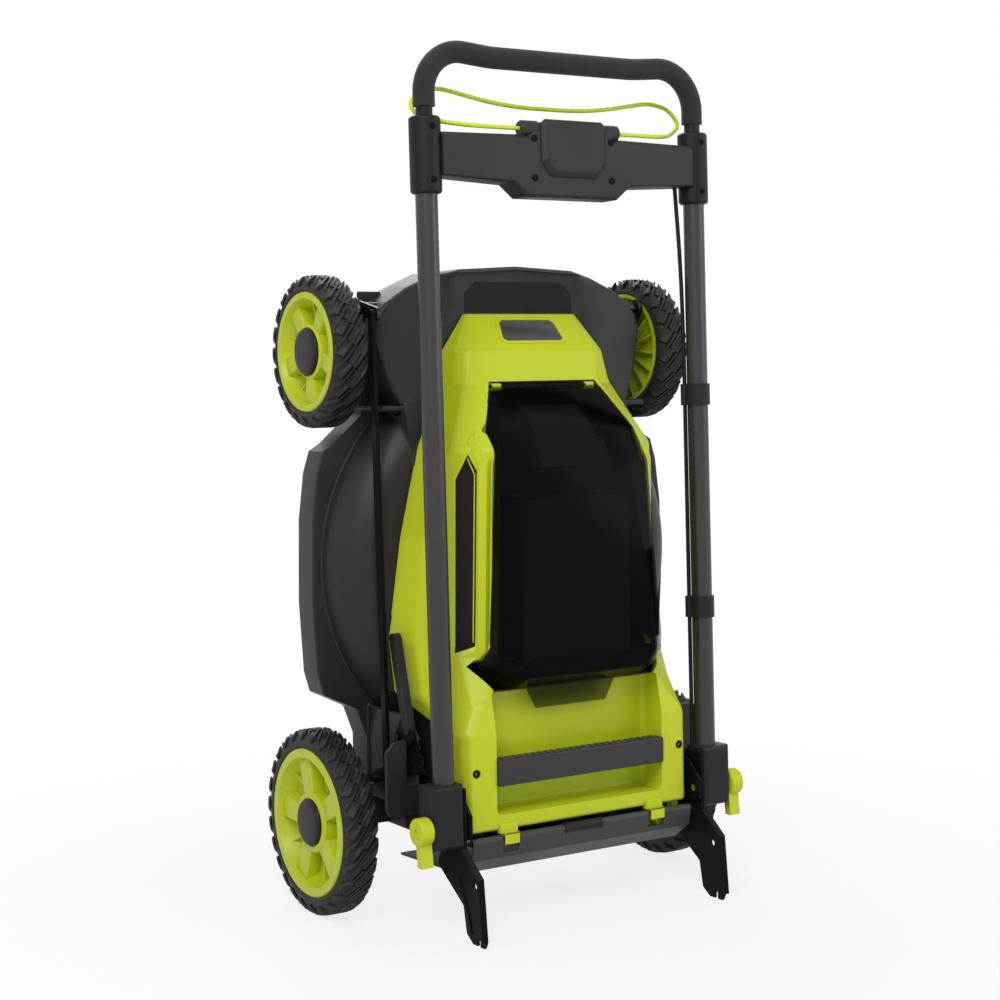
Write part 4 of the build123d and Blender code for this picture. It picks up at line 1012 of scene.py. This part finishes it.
def makeBand(name, look):
    inX, inY = look["inset"]
    rings = []
    for z, half in lidLook["sections"]:
        if z <= look["top"]:
            lift = 0 if rings else look["foot"]
            rings.append(levelRing([(x - inX if x else 0, y + inY) for x, y in half], z + lift))
    band = lofted(name, rings)
    removeFaces(band, lambda polygon: max(abs(polygon.normal.y), polygon.normal.z) > look["open"])
    addWall(band, look["wall"])
    return smooth(band, angle=30)


dress(makeBand("battery_lid_band", bandLook), "battery_black", "lid")

# black walls of the battery bay under the lid
liningLook = {"wall": 1.6, "back": 3, "fronts": [-42, -79.5, -97, -94, -86, -106], "open": 0.5}


def makeLining(name, look):
    outline = bothSides(coverLook["bay"])
    fronts = look["fronts"] + look["fronts"][::-1]
    back = metres((x, look["back"], z) for x, z in outline)
    front = metres((x, y, z) for (x, z), y in zip(outline, fronts))
    lining = lofted(name, [back, front])
    removeFaces(lining, lambda polygon: abs(polygon.normal.y) > look["open"])
    addWall(lining, look["wall"])
    return smooth(lining, angle=30)


dress(makeLining("battery_bay_walls", liningLook), "battery_black", "deck")

# battery latch seen through the hood: sloping blocks, from half widths and side outlines
latchLook = {
    "blocks": [
        (42, [(-46, 592), (-52, 604), (-74, 590), (-92, 566), (-92, 548), (-46, 548)]),
        (60, [(-40, 560), (-40, 586), (-62, 578), (-74, 562), (-70, 546), (-40, 546)]),
        (50, [(-117, 534), (-98, 566), (-90, 566), (-90, 534)]),
    ],
    "edge": 2.0,
}


def makeLatch(name, look):
    blocks = []
    for half, outline in look["blocks"]:
        rings = [metres((side * half, y, z) for y, z in outline) for side in (-1, 1)]
        blocks.append(lofted(name, rings, edge=look["edge"], segments=2))
    return smooth(joined(blocks, name), angle=30, weighted=True)


dress(makeLatch("battery_latch_bar", latchLook), "flap_grey", "deck")
print("lid made")

# control housing and its raised cover, across and along the handle and out from its plane
handleLook = {"origin": (0, -116, 131), "lean": 1.58}
housingLook = {
    "half": [(50, 799), (61, 784), (176, 782), (176, 733), (83, 728), (65, 713)],
    "frontHalf": [(49, 797.5), (59.5, 779), (176, 777), (176, 734), (81, 730), (62, 715.5)],
    "depth": (-16, 11.5, 17.6),
    "edge": 1.6,
    "sharp": 20,
    # the bosses' lengths in metres, their place in millimetres
    "bosses": {"from": 0.046, "to": 0.069, "radius": 0.0095, "edge": 0.002, "hole": 0.003, "floor": 0.056,
               "n": 8.4, "s": 791},
    "notches": [(-100, 782), (98, 782), (4, 713)],
    "notchHalf": (2.5, 2.0),
    "notchDepth": (5.0, 1.2),       # under the housing's front
}
panelLook = {
    "steps": [       # out from the handle's plane, then the half outline from the top to the bottom
        (16.5, [(40, 802), (45.3, 797), (45.3, 753), (31.5, 736)]),
        (19.0, [(40, 802), (45.3, 797), (45.3, 753), (31.5, 736)]),
        (24.2, [(34, 800.5), (38.8, 796), (38.8, 756), (28.2, 742)]),
    ],
    "edge": 1.3,
    "sharp": 15,
}


# a point on the handle: x across it, n out from its plane and s along it
def handlePoint(x, n, s):
    lean = radians(handleLook["lean"])
    originX, originY, originZ = handleLook["origin"]
    return ((originX + x) * mm, (originY - n * cos(lean) + s * sin(lean)) * mm,
            (originZ + n * sin(lean) + s * cos(lean)) * mm)


def handleLoft(name, steps, edge=0, sharp=30):
    rings = [[handlePoint(x, n, s) for x, s in outline] for n, outline in steps]
    return lofted(name, rings, edge=edge, segments=2, sharp=sharp)


def makeHousing(name, look):
    back, chamfer, front = look["depth"]
    half, frontHalf = bothSides(look["half"]), bothSides(look["frontHalf"])
    housing = handleLoft(name, [(back, half), (chamfer, half), (front, frontHalf)], look["edge"],
                         look["sharp"])
    cutters = []
    halfX, halfS = look["notchHalf"]
    for x, s in look["notches"]:
        corners = [(x + across * halfX, s + along * halfS)
                   for across, along in ((-1, -1), (1, -1), (1, 1), (-1, 1))]
        cutters.append(handleLoft("notch", [(front - under, corners) for under in look["notchDepth"]]))
    cutAway(housing, cutters)
    boss = look["bosses"]
    place = handlePoint(0, boss["n"], boss["s"])[1:]
    near, far, radius, edge, hole = [boss[key] for key in ("from", "to", "radius", "edge", "hole")]
    profile = [(near, radius), (far - edge, radius), (far, radius - edge), (far, hole), (boss["floor"], hole)]
    right = turned(name + "_boss", place, profile, segments=40)
    left = copied(right, name + "_boss_left", Matrix.Rotation(pi, 4, "Y"))
    left.data.transform(Matrix.Translation((0, 0, 2 * place[1])))
    return smooth(joined([housing, right, left], name), weighted=True)


dress(makeHousing("control_housing_shell", housingLook), "housing_grey", "handle", "control_housing")
panelSteps = [(n, bothSides(half)) for n, half in panelLook["steps"]]
controlPanel = handleLoft("control_cover_raised", panelSteps, panelLook["edge"], panelLook["sharp"])
dress(smooth(controlPanel, angle=30, weighted=True), "housing_grey", "handle", "control_cover")
print("control housing made")

# screws: a ringed head with a deep socket, modelled at the origin and facing -Y
screwLook = {
    "profile": [(-1.6, 1.0), (-1.6, 4.0), (0.0, 4.0), (0.3, 3.6), (-0.7, 3.4), (-0.7, 3.1), (0.2, 2.9),
                (0.4, 1.7), (-1.2, 1.5)],
    "handle": [(side * x, n, s) for side in (-1, 1) for x, n, places in
               ((189, 18, (727.5, 786.5)), (54.2, 18.6, (734.5, 779.5))) for s in places],
    "coverY": -117.6,
    "coverSize": 1.1,
}


def makeScrews(name, places, size=1.0):
    profile = [(height * size * mm, radius * size * mm) for height, radius in screwLook["profile"]]
    head = turned(name, (0, 0), profile, segments=28)
    head.data.transform(Matrix.Rotation(-pi / 2, 4, "Z"))
    heads = [copied(head, name, Matrix.Translation(place)) for place in places]
    bpy.data.objects.remove(head, do_unlink=True)
    return smooth(joined(heads, name), angle=30)


handlePlaces = [handlePoint(*place) for place in screwLook["handle"]]
dress(makeScrews("handle_screws_socketed", handlePlaces), "screw_steel", "handle", "handle_screws")
coverPlaces = metres((x, screwLook["coverY"], z) for x, z in coverLook["screws"])
coverScrews = makeScrews("cover_screws_socketed", coverPlaces, screwLook["coverSize"])
dress(coverScrews, "screw_steel", "deck", "cover_screws")
print("screws made")

# badge: a bare plate in a raised frame on the cover's front slope
badgeLook = {
    "low": (-34.5, 668),        # foot of the slope in Y and Z, then its head
    "high": (-1, 713),
    "half": [(37, 50), (43, 45), (47, 15.5), (42, 11)],       # across, and up the slope
    "middle": (46, 30.5),
    # out of the slope, and in from the edge
    "frame": [(-1.5, 0.0), (1.6, 0.4), (2.3, 1.4), (2.3, 3.0), (0.4, 4.4), (-1.5, 4.4)],
    "plate": [(-1.0, 4.2), (0.9, 4.2), (1.3, 4.8)],
}


def badgeRings(look, steps):
    (lowY, lowZ), (highY, highZ) = look["low"], look["high"]
    length = hypot(highY - lowY, highZ - lowZ)
    stepY, stepZ = (highY - lowY) / length, (highZ - lowZ) / length
    reachX, middle = look["middle"]
    reachUp = look["half"][0][1] - middle
    rings = []
    for out, inset in steps:
        half = [(x * (1 - inset / reachX), middle + (up - middle) * (1 - inset / reachUp))
                for x, up in look["half"]]
        rings.append(metres((x, lowY + stepY * up - stepZ * out, lowZ + stepZ * up + stepY * out)
                            for x, up in bothSides(half)))
    return rings


badgeFrame = lofted("badge_frame", badgeRings(badgeLook, badgeLook["frame"]), closed=True)
dress(smooth(badgeFrame, angle=40), "lime_plastic", "deck")
badgePlate = lofted("badge_plate_bare", badgeRings(badgeLook, badgeLook["plate"]))
dress(smooth(badgePlate, angle=30), "badge_grey", "deck", "badge_plate")

# nose: half sections of foot, fender edge and ridge, from the dome to the front edge, which is arched
noseLook = {
    "sections": [
        (601, [(164.9, 64), (164.9, 12.4), (159.6, 7.3)]),        # a lip under the shell's edge
        (606.2, [(165.5, 64), (165.5, 12), (160, 6.7)]),
        (648, [(183, 64), (184, 18), (124, 6.7)]),
        (682, [(190, 64), (193.5, 22), (113, 6.7)]),
        (697, [(190, 64), (194, 22), (108, 6.7)]),
        (712, [(187, 64), (189, 22), (100, 6.7)]),
        (727, [(177, 64), (177, 20), (96, 6.7)]),
        (746, [(150, 64), (147, 20), (95, 6.7)]),
        (759, [(120, 64), (116, 20), (93, 7.5)]),
        (764, [(104, 64), (100, 24), (86, 14)]),
    ],
    "room": ((-262, -12, 606), (262, 62.6, 790)),       # what the shell gives up to the nose
    "roomEdge": 0.5,
    "back": 0.7,            # faces that look back more than this are left out
    "arch": 7.0,
    "edge": 4.5,
    "sharp": 10,
    "wall": 3.0,
}
nosePanelLook = {"half": [(62, 751.6), (77.6, 737.8), (77.6, 715)], "depth": (8.0, 6.1), "edge": 0.5}


def noseRoom():
    return roundedBox("noseRoom", *noseLook["room"], noseLook["roomEdge"], 1)


def makeNose(name, look):
    nose = lofted(name, [levelRing(half, z) for z, half in look["sections"]])
    backZ, frontZ = look["sections"][0][0] * mm, look["sections"][-2][0] * mm
    # open at the back and to the shell
    removeFaces(nose, lambda polygon: polygon.normal.y > look["back"] or polygon.center.z < backZ + mm)
    roundEdges(nose, look["edge"] * mm, 3, look["sharp"], clamp=False)
    editAll(nose, lambda: bpy.ops.mesh.bisect(plane_co=(0, 0, 0), plane_no=(1, 0, 0)))
    reach = look["sections"][-1][1][0][0] * mm
    for vertex in nose.data.vertices:
        if vertex.co.z > frontZ - mm:
            vertex.co.z += look["arch"] * mm * max(0, 1 - (vertex.co.x / reach) ** 2)
    addWall(nose, look["wall"])
    return smooth(nose, weighted=True)


dress(makeNose("deck_nose", noseLook), "deck_black", "deck")

# dark panel on the nose
nosePanel = prism("nose_panel", bothSides(nosePanelLook["half"]), *nosePanelLook["depth"],
                  nosePanelLook["edge"], 2)
dress(smooth(nosePanel, angle=30, weighted=True), "grille_black", "deck")

# grab bar with low grip ribs along its top
grabLook = {"half": 118.8, "depth": (-123.3, -105.3), "height": (168, 199), "edge": 2.2, "ribs": 25,
            "pitch": 9.0, "ribHalf": (3.6, 7.0), "ribHeight": (-1, 1.1), "ribEdge": 1.0}


def makeGrabBar(name, look):
    (front, back), (low, high), half = look["depth"], look["height"], look["half"]
    (halfX, halfY), (ribLow, ribHigh) = look["ribHalf"], look["ribHeight"]
    middle = (front + back) / 2
    bar = roundedBox(name, (-half, front, low), (half, back, high), look["edge"])
    rib = roundedBox(name + "_rib", (-halfX, middle - halfY, high + ribLow),
                     (halfX, middle + halfY, high + ribHigh), look["ribEdge"])
    places = [(index - (look["ribs"] - 1) / 2) * look["pitch"] * mm for index in range(look["ribs"])]
    ribs = [copied(rib, name + "_rib", Matrix.Translation((place, 0, 0))) for place in places]
    bpy.data.objects.remove(rib, do_unlink=True)
    return smooth(joined([bar] + ribs, name), weighted=True)


dress(makeGrabBar("grab_bar_ribbed", grabLook), "grab_grey", "deck", "grab_bar")

# thicker sleeve in the middle of the flap's hinge (in metres)
sleeveLook = {"place": (-0.122, 0.107), "from": -0.030, "to": 0.024, "bore": 0.0051, "radius": 0.0062,
              "ring": 0.0068, "ringWidth": 0.003, "edge": 0.0004}


def makeSleeve(name, look):
    low, high, radius, ring, edge = [look[key] for key in ("from", "to", "radius", "ring", "edge")]
    ringEnd = low + look["ringWidth"]
    profile = [(low, look["bore"]), (low, ring - edge), (low + edge, ring), (ringEnd, ring),
               (ringEnd, radius)]
    profile += [(low + high - x, around) for x, around in reversed(profile)]
    return smooth(turned(name, look["place"], profile + profile[:1], segments=36, closed=True), angle=30)


dress(makeSleeve("flap_hinge_sleeve", sleeveLook), "knuckle_black", "flap")
print("small fittings made")

# CAD pieces with their moulded edges rounded off: width of the rounding in metres
softEdges = {
    "deck_shell": {"width": 0.0022, "sharp": 28, "flat": 0, "clamp": False, "cutter": noseRoom},
    "rear_flap": {"width": 0.0007},
    "stand_leg_left": {"width": 0.0008},
    "stand_leg_right": {"width": 0.0008},
    "clamp_lever_left": {"width": 0.0016, "segments": 3},
    "clamp_lever_right": {"width": 0.0016, "segments": 3},
    "height_lever": {"width": 0.0006},
    "link_rod": {"width": 0.0008},
    "pivot_bracket_left": {"width": 0.0006},
    "pivot_bracket_right": {"width": 0.0006},
    "knuckle_cover_left": {"width": 0.0032, "segments": 3},
    "knuckle_cover_right": {"width": 0.0032, "segments": 3},
    "blade": {"width": 0.0005},
}
for nodeName, edge in softEdges.items():
    slotName = otherFinish.get(nodeName, nodeSlot[nodeName])
    dress(softened(nodeName, **edge), slotName, nodeBody[nodeName], nodeName)
print("moulded edges rounded:", len(softEdges))
